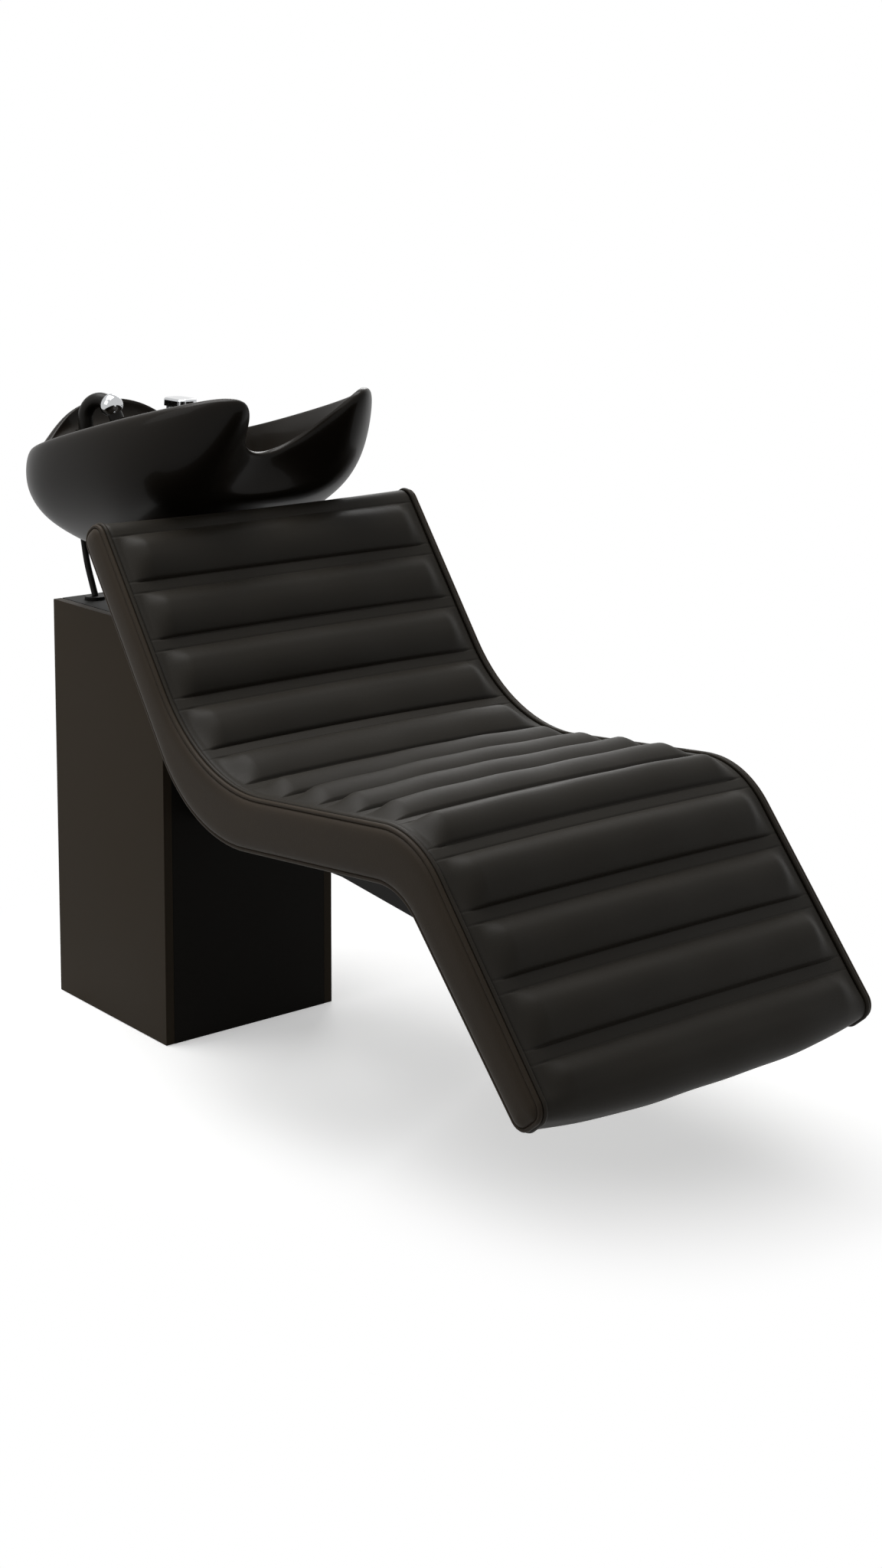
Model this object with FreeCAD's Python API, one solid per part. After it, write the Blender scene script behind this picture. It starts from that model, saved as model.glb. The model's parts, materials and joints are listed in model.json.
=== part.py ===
"""Salon backwash unit: a one-piece lounger carried by a square plinth, with a tilting wash bowl on top.

Millimetres. X runs across the unit, +Y to the rear (bowl end), -Y to the foot end, +Z up.
The origin is the centre of the plinth's footprint, on the floor.
"""
import FreeCAD, Part
import math
import os
from FreeCAD import Vector

# General fits and cuts
fit_gap = 0.3
pivot_clearance = 0.05
cut_overrun = 20.0

# Plinth
plinth_width = 336.0
plinth_depth = 338.0
plinth_height = 691.0
board = 16.0
cover_thickness = 16.0
cover_gap = 1.5
groove_height = 3.0
groove_depth = 5.0
strip_width = 24.0
base_thickness = 20.0
anchor_spacing_x = 240.0
anchor_spacing_y = 270.0
anchor_hole_radius = 6.5
corner_post = 20.0
column_side = 100.0
column_wall = 5.0
column_y = -72.0
column_cap = 8.0
ballast_width = 66.0
ballast_depth = 124.0
ballast_top_gap = 20.0
ballast_count = 9
ballast_rear_gap = 6.0

# Rear service door
door_side_gap = 2.0
door_bottom_gap = 6.0
hinge_length = 60.0
hinge_leaf = 2.0
hinge_leaf_width = 20.0
hinge_radius = 4.0
hinge_pin_radius = 2.0
hinge_inset_z = 70.0
latch_radius = 9.0
latch_head = 6.0
latch_shank_radius = 5.0
latch_cam_length = 30.0
latch_cam_width = 12.0
latch_cam = 3.0
latch_inset = 40.0
latch_drop = 331.0
latch_z = plinth_height - latch_drop
keeper_thickness = 3.0
keeper_height = 30.0
keeper_depth = 14.0

# Lounger outline, seen from the side
seat_hip_y = -482.0
seat_drop = 164.0
seat_hip_z = plinth_height - seat_drop
seat_length = 513.0
seat_rise = 5.7
back_length = 454.0
back_angle = 53.3
leg_length = 403.0
leg_angle = 49.7
back_top_thickness = 57.0
back_hip_thickness = 65.0
seat_thickness = 83.5
leg_knee_thickness = 83.6
leg_foot_thickness = 66.0
hip_round = 274.0
knee_round = 139.0
under_hip_round = 238.0
under_knee_round = 97.0
top_round = 25.0
foot_round = 24.0

# Lounger layers
chair_width = 620.0
side_pad = 8.0
piping_diameter = 7.0
pad_thickness = 30.0
end_wrap = 26.0
deck_thickness = 9.0
rib_thickness = 18.0
under_cover_thickness = 3.0
slat_thickness = 16.0
slat_shares = (0.16, 0.40, 0.55, 0.70, 0.88)

# Sewn channels of the pad
top_margin = 35.0
back_pitch_share = 0.2192
seat_pitch_share = 0.1715
leg_pitch_share = 0.2765
back_channels = 5
seat_channels = 5
leg_channels = 3
flat_strip = 20.0
channel_sink = 2.0
puff_share = 0.165
puff_edge_share = 0.0125
puff_crown_share = 0.19
channel_inset = 30.0
puff_run = 32.0

# Beam that carries the seat
beam_width = 192.0
beam_sheet = 3.0
beam_flange = 8.0
beam_flange_height = 84.0
beam_drop = 161.0
beam_bottom_z = seat_hip_z - beam_drop
beam_step_y = -552.0
beam_front_y = -800.0
beam_front_drop = 20.0
beam_front_z = beam_bottom_z - beam_front_drop
beam_front_height = 60.0
beam_bolt_radius = 6.0
beam_bolt_head_radius = 10.0
beam_bolt_head = 8.0
beam_bolt_spacing = 70.0
beam_bolt_inset = 18.0

# Bowl
bowl_width = 490.0
bowl_horn_y = -380.0
bowl_rear_y = 284.0
bowl_lift = 79.0
bowl_bottom_z = plinth_height + bowl_lift
rim_rear_height = 156.0
rim_rear_z = bowl_bottom_z + rim_rear_height
rim_horn_height = 319.0
rim_horn_z = bowl_bottom_z + rim_horn_height
notch_y = -218.0
notch_height = 190.0
notch_z = bowl_bottom_z + notch_height
hump_height = 250.0
hump_z = bowl_bottom_z + hump_height
bowl_floor = 16.0
drain_y = 30.0
drain_bore = 24.0
ring_points = 28
crowding_share = 0.42
rear_square_share = 0.86
notch_reach_share = 0.255
notch_dip_share = 0.275
notch_spread_share = 0.40
hump_reach_share = 0.46
deck_reach_share = 0.80
# Outer rings from the foot up to the rim: height, width, front, rear, notch and squareness shares
outer_ring_shares = (
    (0.00, 0.16, 0.10, 0.16, 0.00, 1.00),
    (0.00, 0.36, 0.20, 0.43, 0.00, 0.80),
    (0.10, 0.58, 0.31, 0.67, 0.00, 0.58),
    (0.27, 0.79, 0.45, 0.86, 0.00, 0.43),
    (0.42, 0.91, 0.62, 0.96, 0.03, 0.45),
    (0.63, 1.00, 0.79, 1.02, 0.52, 0.63),
    (0.87, 1.01, 0.935, 1.01, 0.90, 0.80),
    (1.00, 0.985, 0.99, 0.955, 1.00, 0.87),
)
# Inner rings from the rim down to the drain, the same shares
inner_ring_shares = (
    (1.00, 0.935, 0.945, 0.905, 0.97, 0.87),
    (0.88, 0.895, 0.88, 0.88, 0.84, 0.80),
    (0.66, 0.87, 0.73, 0.89, 0.44, 0.65),
    (0.44, 0.77, 0.55, 0.80, 0.03, 0.53),
    (0.24, 0.58, 0.36, 0.60, 0.00, 0.60),
    (0.05, 0.36, 0.20, 0.40, 0.00, 0.80),
    (0.00, 0.18, 0.11, 0.18, 0.00, 1.00),
)
# Height below the tap deck, rear reach and weight of the same inner rings where the deck is
deck_ring_shares = (
    (1.00, 0.955, 0.00),
    (1.02, 0.90, 1.00),
    (0.99, 0.47, 1.00),
    (0.72, 0.38, 1.00),
    (0.30, 0.35, 1.00),
    (0.04, 0.32, 1.00),
    (0.00, 0.18, 1.00),
)
deck_height = 190.0
deck_z = bowl_bottom_z + deck_height
pocket_width = 244.0
pocket_front_y = 156.0
pocket_rear_y = 236.0
pocket_height = 148.0
pocket_top_z = bowl_bottom_z + pocket_height

# Tilting mount of the bowl
carrier_width = 150.0
carrier_front_y = -62.0
carrier_rear_y = 118.0
carrier_thickness = 6.0
carrier_hole = 40.0
ear_thickness = 6.0
ear_radius = 16.0
ear_half_gap = 66.0
tilt_pivot_y = -34.0
tilt_pivot_lift = 44.0
tilt_pivot_z = plinth_height + tilt_pivot_lift
pivot_radius = 6.0
pivot_head = 4.0
pivot_head_radius = 10.0
bush_wall = 2.0
bush_flange = 1.5
bush_flange_radius = 11.0
upright_thickness = 8.0
upright_radius = 16.0
pedestal_thickness = 6.0
pedestal_width = 128.0
pedestal_front_y = -76.0
pedestal_rear_y = 84.0
pedestal_bolt_radius = 4.0
pedestal_bolt_head = 5.0
pedestal_bolt_inset = 14.0
waste_hole_radius = 30.0

# Drain and waste
flange_radius = 36.0
flange_thickness = 3.0
drain_wall = 2.0
gasket_thickness = 3.0
gasket_radius = 34.0
nut_radius = 33.0
nut_height = 10.0
drain_tail_lift = 25.0
drain_tail_z = plinth_height + drain_tail_lift
strainer_radius = 19.0
strainer_thickness = 2.0
strainer_hole_radius = 2.2
strainer_hole_circle = 11.0
strainer_hole_count = 8
strainer_knob_radius = 3.5
strainer_knob = 9.0
strainer_post_length = 12.0
waste_hose_wall = 2.5
waste_hose_drop = 131.0
waste_hose_z = plinth_height - waste_hose_drop
trap_radius = 30.0
trap_height = 150.0
trap_cap_radius = 33.0
trap_cap = 26.0
waste_pipe_radius = 16.0
waste_pipe_wall = 2.0
waste_pipe_drop = 80.0
waste_pipe_z = waste_hose_z - waste_pipe_drop
waste_pipe_y = 112.0
waste_opening_radius = 24.0

# Water supply
valve_rail_drop = 271.0
valve_rail_z = plinth_height - valve_rail_drop
valve_rail_height = 40.0
valve_rail_thickness = 6.0
valve_rail_y = 84.0
valve_x = 70.0
valve_radius = 11.0
valve_length = 30.0
valve_neck_radius = 7.0
valve_neck = 22.0
valve_stem_radius = 4.0
valve_stem = 8.0
valve_lever_width = 11.0
valve_lever_length = 40.0
valve_lever = 5.0
hose_radius = 5.5
hose_slant = 40.0
bend_reach_share = 0.45
grommet_x = 110.0
grommet_y = 128.0
grommet_radius = 18.0
grommet_height = 5.0
grommet_neck_radius = 11.0
grommet_neck = 14.0
riser_top_y = 166.0
riser_top_height = 30.0
riser_top_z = bowl_bottom_z + riser_top_height
riser_lead = 26.0
tail_radius = 5.0

# Mixer on the tap deck
mixer_x = 90.0
mixer_y = 180.0
mixer_seat_radius = 25.0
mixer_base_radius = 23.0
mixer_base = 5.0
mixer_radius = 18.0
mixer_height = 48.0
mixer_shank_radius = 10.0
mixer_nut_radius = 14.0
mixer_nut = 8.0
turret_radius = 17.0
turret_height = 11.0
turret_spigot_radius = 9.0
turret_spigot = 8.0
lever_pin_radius = 2.0
lever_knuckle = 3.2
lever_knuckle_width = 14.0
lever_ear_width = 4.0
lever_pivot_inset = 8.0
lever_length = 66.0
lever_width = 40.0
lever_thickness = 14.0
lever_round = 4.0
lever_overhang = 16.0

# Pull-out hand shower
shower_x = -70.0
shower_y = 216.0
shower_heading = -62.0
holder_radius = 18.0
holder_height = 12.0
holder_seat_radius = 19.0
holder_shank_radius = 12.0
shower_grip_radius = 13.0
shower_rise = 22.0
shower_bend = 30.0
shower_sweep = 125.0
shower_neck = 5.0
shower_head_radius = 20.0
spray_radius = 12.5
spray_height = 7.0
spray_tilt = 25.0
shower_hose_radius = 6.5
shower_hose_length = 96.0


def box(x0, y0, z0, x1, y1, z1):
    return Part.makeBox(x1 - x0, y1 - y0, z1 - z0, Vector(x0, y0, z0))


def rod(x, y, z, radius, length, direction=Vector(0, 0, 1)):
    return Part.makeCylinder(radius, length, Vector(x, y, z), direction)


def tube(x, y, z, outer, inner, length, direction=Vector(0, 0, 1)):
    return rod(x, y, z, outer, length, direction).cut(rod(x, y, z, inner, length, direction))


def group(shapes):
    return Part.makeCompound(shapes)


def save(name, shape):
    shape.exportStep("parts/" + name + ".step")


def both_sides(shape):
    """The shape and its mirror image across the unit's middle plane."""
    return [shape, shape.mirror(Vector(0, 0, 0), Vector(1, 0, 0))]


# Outlines in the side view are lists of (y, z) corners with a round at each
def at(point, x=0.0):
    return Vector(x, point[0], point[1])


def unit(a, b):
    length = math.hypot(b[0] - a[0], b[1] - a[1])
    return ((b[0] - a[0]) / length, (b[1] - a[1]) / length)


def turn_at(before, corner, after):
    a, b = unit(before, corner), unit(corner, after)
    return math.atan2(a[0] * b[1] - a[1] * b[0], a[0] * b[0] + a[1] * b[1])


def shifted(point, direction, distance):
    return (point[0] + direction[0] * distance, point[1] + direction[1] * distance)


def meet(p, a, q, b):
    """Where the line through p along a meets the line through q along b."""
    cross = a[0] * b[1] - a[1] * b[0]
    along = ((q[0] - p[0]) * b[1] - (q[1] - p[1]) * b[0]) / cross
    return shifted(p, a, along)


def inset(corners, distances):
    """The closed outline with each side moved inwards; side i runs from corner i to the next."""
    count = len(corners)
    sides = []
    for i in range(count):
        along = unit(corners[i], corners[(i + 1) % count])
        inward = (-along[1], along[0])
        sides.append((shifted(corners[i], inward, distances[i]), along))
    return [meet(*sides[i - 1], *sides[i]) for i in range(count)]


def rounded(corners, rounds, x=0.0, closed=False):
    """Straight runs joined by tangent arcs, as edges in the plane at x."""
    count = len(corners)
    ends = []
    for i, corner in enumerate(corners):
        inner = closed or 0 < i < count - 1
        if not inner or rounds[i] == 0:
            ends.append((corner, None, corner))
            continue
        before, after = corners[i - 1], corners[(i + 1) % count]
        half = abs(turn_at(before, corner, after)) / 2
        reach = rounds[i] * math.tan(half)
        start = shifted(corner, unit(corner, before), reach)
        stop = shifted(corner, unit(corner, after), reach)
        middle = ((start[0] + stop[0]) / 2, (start[1] + stop[1]) / 2)
        crown = shifted(corner, unit(corner, middle), rounds[i] * (1 / math.cos(half) - 1))
        ends.append((start, crown, stop))
    edges = []
    for i, (start, crown, stop) in enumerate(ends):
        if crown:
            edges.append(Part.Arc(at(start, x), at(crown, x), at(stop, x)).toShape())
        if closed or i < count - 1:
            following = ends[(i + 1) % count][0]
            edges.append(Part.LineSegment(at(stop, x), at(following, x)).toShape())
    return edges


def prism(corners, rounds, x0, x1):
    face = Part.Face(Part.Wire(rounded(corners, rounds, x0, True)))
    return face.extrude(Vector(x1 - x0, 0, 0))


# The lounger's outline runs from the top of the back along the upper side to the foot, and back underneath
def chair_outline():
    back, rise = math.radians(back_angle), math.radians(seat_rise)
    leg = math.radians(leg_angle)
    hip = (seat_hip_y, seat_hip_z)
    top = shifted(hip, (math.cos(back), math.sin(back)), back_length)
    knee = shifted(hip, (-math.cos(rise), math.sin(rise)), seat_length)
    foot = shifted(knee, (-math.cos(leg), -math.sin(leg)), leg_length)
    back_down = (math.sin(back), -math.cos(back))
    leg_down = (math.sin(leg), -math.cos(leg))
    seat_down = (-math.sin(rise), -math.cos(rise))
    under_top = shifted(top, back_down, back_top_thickness)
    under_foot = shifted(foot, leg_down, leg_foot_thickness)
    seat_low = shifted(hip, seat_down, seat_thickness)
    back_low = shifted(hip, back_down, back_hip_thickness)
    leg_low = shifted(knee, leg_down, leg_knee_thickness)
    under_hip = meet(seat_low, unit(hip, knee), back_low, unit(hip, top))
    under_knee = meet(seat_low, unit(hip, knee), leg_low, unit(knee, foot))
    return [top, hip, knee, foot, under_foot, under_knee, under_hip, under_top]


chair = chair_outline()
chair_rounds = [
    top_round, hip_round, knee_round, foot_round,
    foot_round, under_knee_round, under_hip_round, top_round,
]


def layer(upper, ends, lower):
    """Corners of the outline inset by the three distances, and the rounds that follow them."""
    corners = inset(chair, [upper, upper, upper, ends, lower, lower, lower, ends])
    rounds = [
        0, hip_round + upper, knee_round - upper, 0,
        0, under_knee_round + lower, under_hip_round - lower, 0,
    ]
    return corners, rounds


def upper_band(outer, inner, ends):
    """A band along the upper side, between two depths below it."""
    a, ra = layer(outer, ends, 0)
    b, rb = layer(inner, ends, 0)
    return a[:4] + b[3::-1], ra[:4] + rb[3::-1]


def under_band(outer, inner, ends):
    """A band along the underside, between two depths above it."""
    a, ra = layer(0, ends, outer)
    b, rb = layer(0, ends, inner)
    return a[4:] + b[:3:-1], ra[4:] + rb[:3:-1]


# Channels are sewn across the pad at stations measured along the upper side from the top corner
def channel_starts(total):
    back_pitch, seat_pitch = back_pitch_share * back_length, seat_pitch_share * seat_length
    starts = [top_margin + i * back_pitch for i in range(back_channels)]
    seat_start = top_margin + back_channels * back_pitch
    starts += [seat_start + i * seat_pitch for i in range(seat_channels)]
    leg_start = seat_start + seat_channels * seat_pitch
    leg_pitch = leg_pitch_share * (total - leg_start)
    return starts + [leg_start + i * leg_pitch for i in range(leg_channels + 1)]


def station(edges, distance):
    """The point and the outward normal at a distance along a chain of edges."""
    for edge in edges:
        if distance <= edge.Length:
            break
        distance -= edge.Length
    parameter = edge.getParameterByLength(min(distance, edge.Length))
    tangent = edge.tangentAt(parameter)
    return edge.valueAt(parameter), Vector(0, tangent.z, -tangent.y)


def pad_section(x, puff):
    """The pad's section at x: channels puffed by a share of their length above, the deck's line below."""
    corners, rounds = layer(pad_thickness, end_wrap, 0)
    path = rounded(chair[:4], chair_rounds[:4], x)
    sewn = layer(channel_sink, 0, 0)[0]
    sewn_rounds = [top_round, hip_round + channel_sink, knee_round - channel_sink, foot_round]
    outer = sewn[:4] + chair[4:5] + chair[7:]
    outer_rounds = sewn_rounds + [foot_round, top_round]
    ends = rounded(outer, outer_rounds, x, True)
    total = sum(edge.Length for edge in path)
    starts = channel_starts(total)
    stops = [b - flat_strip for b in starts[1:]] + [total - foot_round - 2 * channel_sink]
    chain = []
    last = None
    for a, b in zip(starts, stops):
        first, _ = station(path, a)
        end, _ = station(path, b)
        middle, normal = station(path, (a + b) / 2)
        sink_a = station(path, a)[1] * -channel_sink
        sink_b = station(path, b)[1] * -channel_sink
        first, end = first + sink_a, end + sink_b
        if last:
            chain.append(Part.LineSegment(last, first).toShape())
        chain.append(Part.Arc(first, middle + normal * puff * (b - a), end).toShape())
        last = end
    top_end = rounded([corners[7], chair[7], sewn[0], sewn[1]], [0, top_round, top_round, 0], x)[:4]
    foot_end = rounded([sewn[2], sewn[3], chair[4], corners[4]], [0, foot_round, foot_round, 0], x)[1:]
    start = top_end[3].Vertexes[0].Point
    stop = foot_end[0].Vertexes[0].Point
    chain = [Part.LineSegment(start, chain[0].Vertexes[0].Point).toShape()] + chain
    chain.append(Part.LineSegment(last, stop).toShape())
    inner = rounded(corners[4:2:-1] + corners[2::-1] + corners[7:], rounds[4:2:-1] + rounds[2::-1] + [0], x)
    return Part.Wire(top_end[:3] + chain + foot_end + inner)


def channel_pad():
    edge = chair_width / 2 - side_pad - piping_diameter - fit_gap
    steps = [(edge, puff_edge_share), (edge - channel_inset, puff_edge_share)]
    steps.append((edge - channel_inset - puff_run, puff_share))
    places = [(-x, puff) for x, puff in steps] + [(0, puff_crown_share)]
    places += [(x, puff) for x, puff in reversed(steps)]
    return Part.makeLoft([pad_section(x, puff) for x, puff in places], True, True)


def lounger():
    edge = chair_width / 2 - side_pad - piping_diameter - fit_gap
    save("channel_pad", channel_pad())
    deck_top = pad_thickness + fit_gap
    deck_low = deck_top + deck_thickness
    ends = end_wrap + fit_gap
    save("seat_deck", prism(*upper_band(deck_top, deck_low, ends), -edge, edge))
    save("under_cover", prism(*under_band(0, under_cover_thickness, ends), -edge, edge))
    rib = layer(deck_low, ends, under_cover_thickness)
    save("frame_ribs", group(both_sides(prism(*rib, edge - rib_thickness, edge))))
    core = prism(*rib, rib_thickness - edge, edge - rib_thickness)
    path = rounded(chair[:4], chair_rounds[:4])
    total = sum(piece.Length for piece in path)
    slats = []
    for share in slat_shares:
        point, normal = station(path, share * total)
        slab = Part.makeBox(chair_width, slat_thickness, 2 * seat_thickness)
        slab.translate(Vector(-chair_width / 2, -slat_thickness / 2, -2 * seat_thickness))
        slab.rotate(Vector(0, 0, 0), Vector(1, 0, 0), -math.degrees(math.atan2(normal.y, normal.z)))
        slab.translate(point)
        slats.append(slab.common(core).Solids[0])
    save("cross_slats", group(slats))
    inner_edge = edge + fit_gap
    step = piping_diameter + fit_gap
    boss = inset(chair, [step] * len(chair))
    boss_rounds = [
        max(r + step * (1 if i in (1, 5) else -1), fit_gap) for i, r in enumerate(chair_rounds)
    ]
    panel = prism(chair, chair_rounds, inner_edge + piping_diameter, inner_edge + piping_diameter + side_pad)
    panel = panel.fuse(prism(boss, boss_rounds, inner_edge, inner_edge + piping_diameter)).removeSplitter()
    outer_edge = [e for e in panel.Edges if e.BoundBox.XMin > chair_width / 2 - fit_gap]
    panel = panel.makeFillet(side_pad / 2, outer_edge)
    near, far = both_sides(panel)
    save("right_side_pad", near)
    save("left_side_pad", far)
    radius = piping_diameter / 2 - fit_gap / 2
    line = inset(chair, [piping_diameter / 2] * len(chair))
    line_rounds = [r + piping_diameter / 2 * (1 if i in (1, 5) else -1) for i, r in enumerate(chair_rounds)]
    x = inner_edge + piping_diameter / 2
    spine = Part.Wire(rounded(line, line_rounds, x, True))
    first = spine.Edges[1]
    start, heading = first.valueAt(first.FirstParameter), first.tangentAt(first.FirstParameter)
    profile = Part.Wire(Part.makeCircle(radius, start, heading))
    piping = spine.makePipeShell([profile], True, False)
    near, far = both_sides(piping)
    save("right_piping", near)
    save("left_piping", far)


def seat_beam():
    """A folded steel tray under the seat, closed in front, with a flange bolted to the plinth's front."""
    front = -plinth_depth / 2
    under = layer(0, 0, -fit_gap)[0]
    rise = unit(under[6], under[5])

    def seat_z(y):
        return meet(under[6], rise, (y, 0), (0, 1))[1]

    flange_y = front - beam_flange
    side = [
        (flange_y, beam_bottom_z), (flange_y, seat_z(flange_y)),
        (beam_front_y, seat_z(beam_front_y)), (beam_front_y, beam_front_z + beam_front_height),
        (beam_front_y + beam_front_height, beam_front_z), (beam_step_y, beam_bottom_z),
    ]
    outside = prism(side, [0] * len(side), -beam_width / 2, beam_width / 2)
    hollow = inset(side, [0, -cut_overrun, beam_sheet, beam_sheet, beam_sheet, beam_sheet])
    half = beam_width / 2 - beam_sheet
    tray = outside.cut(prism(hollow, [0] * len(hollow), -half, half))
    flange = box(-beam_width / 2, flange_y, beam_bottom_z,
                 beam_width / 2, front, beam_bottom_z + beam_flange_height)
    tray = tray.fuse(flange).removeSplitter()
    length = board + beam_flange + column_wall + column_front_gap()
    along = Vector(0, 1, 0)
    bolts, holes = [], []
    for x in (-beam_bolt_spacing / 2, beam_bolt_spacing / 2):
        for z in (beam_bottom_z + beam_bolt_inset, beam_bottom_z + beam_flange_height - beam_bolt_inset):
            holes.append(rod(x, flange_y, z, beam_bolt_radius + fit_gap, length, along))
            tray = tray.cut(holes[-1])
            shank = rod(x, flange_y, z, beam_bolt_radius, length, along)
            head = rod(x, flange_y - beam_bolt_head, z, beam_bolt_head_radius, beam_bolt_head, along)
            bolts.append(head.fuse(shank).removeSplitter())
    save("seat_beam", tray)
    save("beam_bolts", group(bolts))
    return holes


def column_front_gap():
    """From the front panel's inner face to the column's front face."""
    return column_y - column_side / 2 + plinth_depth / 2 - board


def plinth(beam_holes):
    w, d = plinth_width / 2, plinth_depth / 2
    wall_top = plinth_height - cover_thickness - groove_height
    inner_w, inner_d = w - board, d - board
    plate = box(-inner_w, -inner_d, 0, inner_w, d - board - fit_gap, base_thickness)
    for x in (-anchor_spacing_x / 2, anchor_spacing_x / 2):
        for y in (-anchor_spacing_y / 2, anchor_spacing_y / 2):
            plate = plate.cut(rod(x, y, 0, anchor_hole_radius, base_thickness))
    plate = plate.cut(rod(0, waste_pipe_y, 0, waste_opening_radius, base_thickness))
    save("base_plate", plate)
    front = box(-inner_w, -d, 0, inner_w, -inner_d, wall_top)
    for hole in beam_holes:
        front = front.cut(hole)
    save("front_panel", front)
    sides = both_sides(box(inner_w, -d, 0, w, d, plinth_height))
    for name, wall in zip(("right_panel", "left_panel"), sides):
        save(name, wall)
    cover_w, cover_low = inner_w - cover_gap, plinth_height - cover_thickness
    ring = box(-cover_w, groove_depth - d, wall_top, cover_w, d - groove_depth, cover_low)
    hole_w, hole_d = cover_w - strip_width, d - groove_depth - strip_width
    ring = ring.cut(box(-hole_w, -hole_d, wall_top, hole_w, hole_d, cover_low))
    save("shadow_strip", ring)
    cover = box(-cover_w, -d, cover_low, cover_w, d, plinth_height)
    cover = cover.cut(rod(0, drain_y, wall_top, waste_hole_radius, plinth_height))
    for x in (-grommet_x, grommet_x):
        cover = cover.cut(rod(x, grommet_y, wall_top, grommet_neck_radius, plinth_height))
    for hole in pedestal_bolts(fit_gap):
        cover = cover.cut(hole)
    save("top_cover", cover)
    posts = []
    for x in (-inner_w, inner_w - corner_post):
        posts.append(box(x, -inner_d, base_thickness, x + corner_post, corner_post - inner_d, wall_top))
        rear = inner_d - fit_gap - keeper_depth
        posts.append(box(x, rear - corner_post, base_thickness, x + corner_post, rear, wall_top))
    save("corner_posts", group(posts))
    half = column_side / 2
    cap_top = plinth_height - cover_thickness
    column = box(-half, column_y - half, base_thickness, half, column_y + half, cap_top - column_cap)
    inner = half - column_wall
    column = column.cut(box(-inner, column_y - inner, base_thickness, inner, column_y + inner, cap_top))
    cap = box(-pedestal_width / 2, column_y - half, cap_top - column_cap,
              pedestal_width / 2, pedestal_rear_y, cap_top)
    cap = cap.cut(rod(0, drain_y, wall_top - column_cap, waste_hole_radius, plinth_height))
    column = column.fuse(cap).removeSplitter()
    for hole in beam_holes + pedestal_bolts(fit_gap):
        column = column.cut(hole)
    save("column", column)
    stack = []
    ballast_top = valve_rail_z - valve_rail_height / 2 - ballast_top_gap
    ballast_plate = (ballast_top - base_thickness) / ballast_count
    rear = inner_d - ballast_rear_gap - corner_post - keeper_depth
    for x in (corner_post - inner_w, inner_w - corner_post - ballast_width):
        for i in range(ballast_count):
            z = base_thickness + i * ballast_plate
            stack.append(box(x, rear - ballast_depth, z, x + ballast_width, rear, z + ballast_plate))
    save("ballast_plates", group(stack))


def service_door():
    w, d = plinth_width / 2, plinth_depth / 2
    wall_top = plinth_height - cover_thickness - groove_height
    left = board - w + door_side_gap
    right = w - board - door_side_gap
    inner = d - board
    door = box(left, inner, door_bottom_gap, right, d, wall_top - door_side_gap)
    latch_x = left + latch_inset
    shank = rod(latch_x, inner, latch_z, latch_shank_radius, board, Vector(0, 1, 0))
    clearance = rod(latch_x, inner, latch_z, latch_shank_radius + pivot_clearance, board, Vector(0, 1, 0))
    hinge_x = w - board - door_side_gap / 2
    hinge_y = d + hinge_radius
    fixed, moving, pins = [], [], []
    third = hinge_length / 3
    for low in (hinge_inset_z, wall_top - hinge_inset_z - hinge_length):
        bore = rod(hinge_x, hinge_y, low, hinge_pin_radius + pivot_clearance, hinge_length)
        leaf_fixed = box(hinge_x + hinge_radius, d, low,
                         hinge_x + hinge_leaf_width - hinge_radius, d + hinge_leaf, low + hinge_length)
        leaf_moving = box(hinge_x - hinge_leaf_width, d, low,
                          hinge_x - hinge_radius, d + hinge_leaf, low + hinge_length)
        for i in range(3):
            z = low + i * third
            knuckle = rod(hinge_x, hinge_y, z + pivot_clearance, hinge_radius, third - 2 * pivot_clearance)
            side = 1 if i != 1 else -1
            reach = side * (hinge_radius + hinge_leaf)
            arm = box(min(hinge_x, hinge_x + reach), d, z + pivot_clearance,
                      max(hinge_x, hinge_x + reach), d + hinge_leaf, z + third - pivot_clearance)
            if side > 0:
                leaf_fixed = leaf_fixed.fuse([knuckle, arm])
            else:
                leaf_moving = leaf_moving.fuse([knuckle, arm])
        fixed.append(leaf_fixed.cut(bore).removeSplitter())
        moving.append(leaf_moving.cut(bore).removeSplitter())
        pins.append(rod(hinge_x, hinge_y, low, hinge_pin_radius, hinge_length))
    save("rear_door", door.cut(clearance))
    save("hinge_fixed_leaves", group(fixed))
    save("hinge_door_leaves", group(moving))
    save("hinge_pins", group(pins))
    head = rod(latch_x, d + pivot_clearance, latch_z, latch_radius, latch_head, Vector(0, 1, 0))
    tongue_rear = inner - fit_gap
    tongue_front = tongue_rear - keeper_thickness
    cam_y = tongue_front - fit_gap - latch_cam
    cam = box(latch_x - latch_cam_width / 2, cam_y, latch_z - latch_cam_length,
              latch_x + latch_cam_width / 2, cam_y + latch_cam, latch_z + latch_cam_width / 2)
    stem = rod(latch_x, cam_y, latch_z, latch_shank_radius, d + pivot_clearance - cam_y, Vector(0, 1, 0))
    slot = box(latch_x - latch_radius, d + latch_head / 2, latch_z - latch_cam / 2,
               latch_x + latch_radius, d + latch_head + cut_overrun, latch_z + latch_cam / 2)
    save("door_latch", head.fuse([cam, stem]).removeSplitter().cut(slot))
    low, high = latch_z - keeper_height / 2, latch_z + keeper_height / 2
    keeper = box(board - w, tongue_rear - keeper_depth, low, board - w + keeper_thickness, tongue_rear, high)
    tongue = box(board - w, tongue_front, low, latch_x - latch_cam_width, tongue_rear, high)
    save("latch_keeper", keeper.fuse(tongue).removeSplitter())


# The bowl's control rings: each ring's points run round the drain's axis from the neck notch
def swell(angle, centre, reach, power):
    away = math.remainder(angle - centre, math.tau)
    return math.exp(-(abs(away) / reach) ** power)


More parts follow.
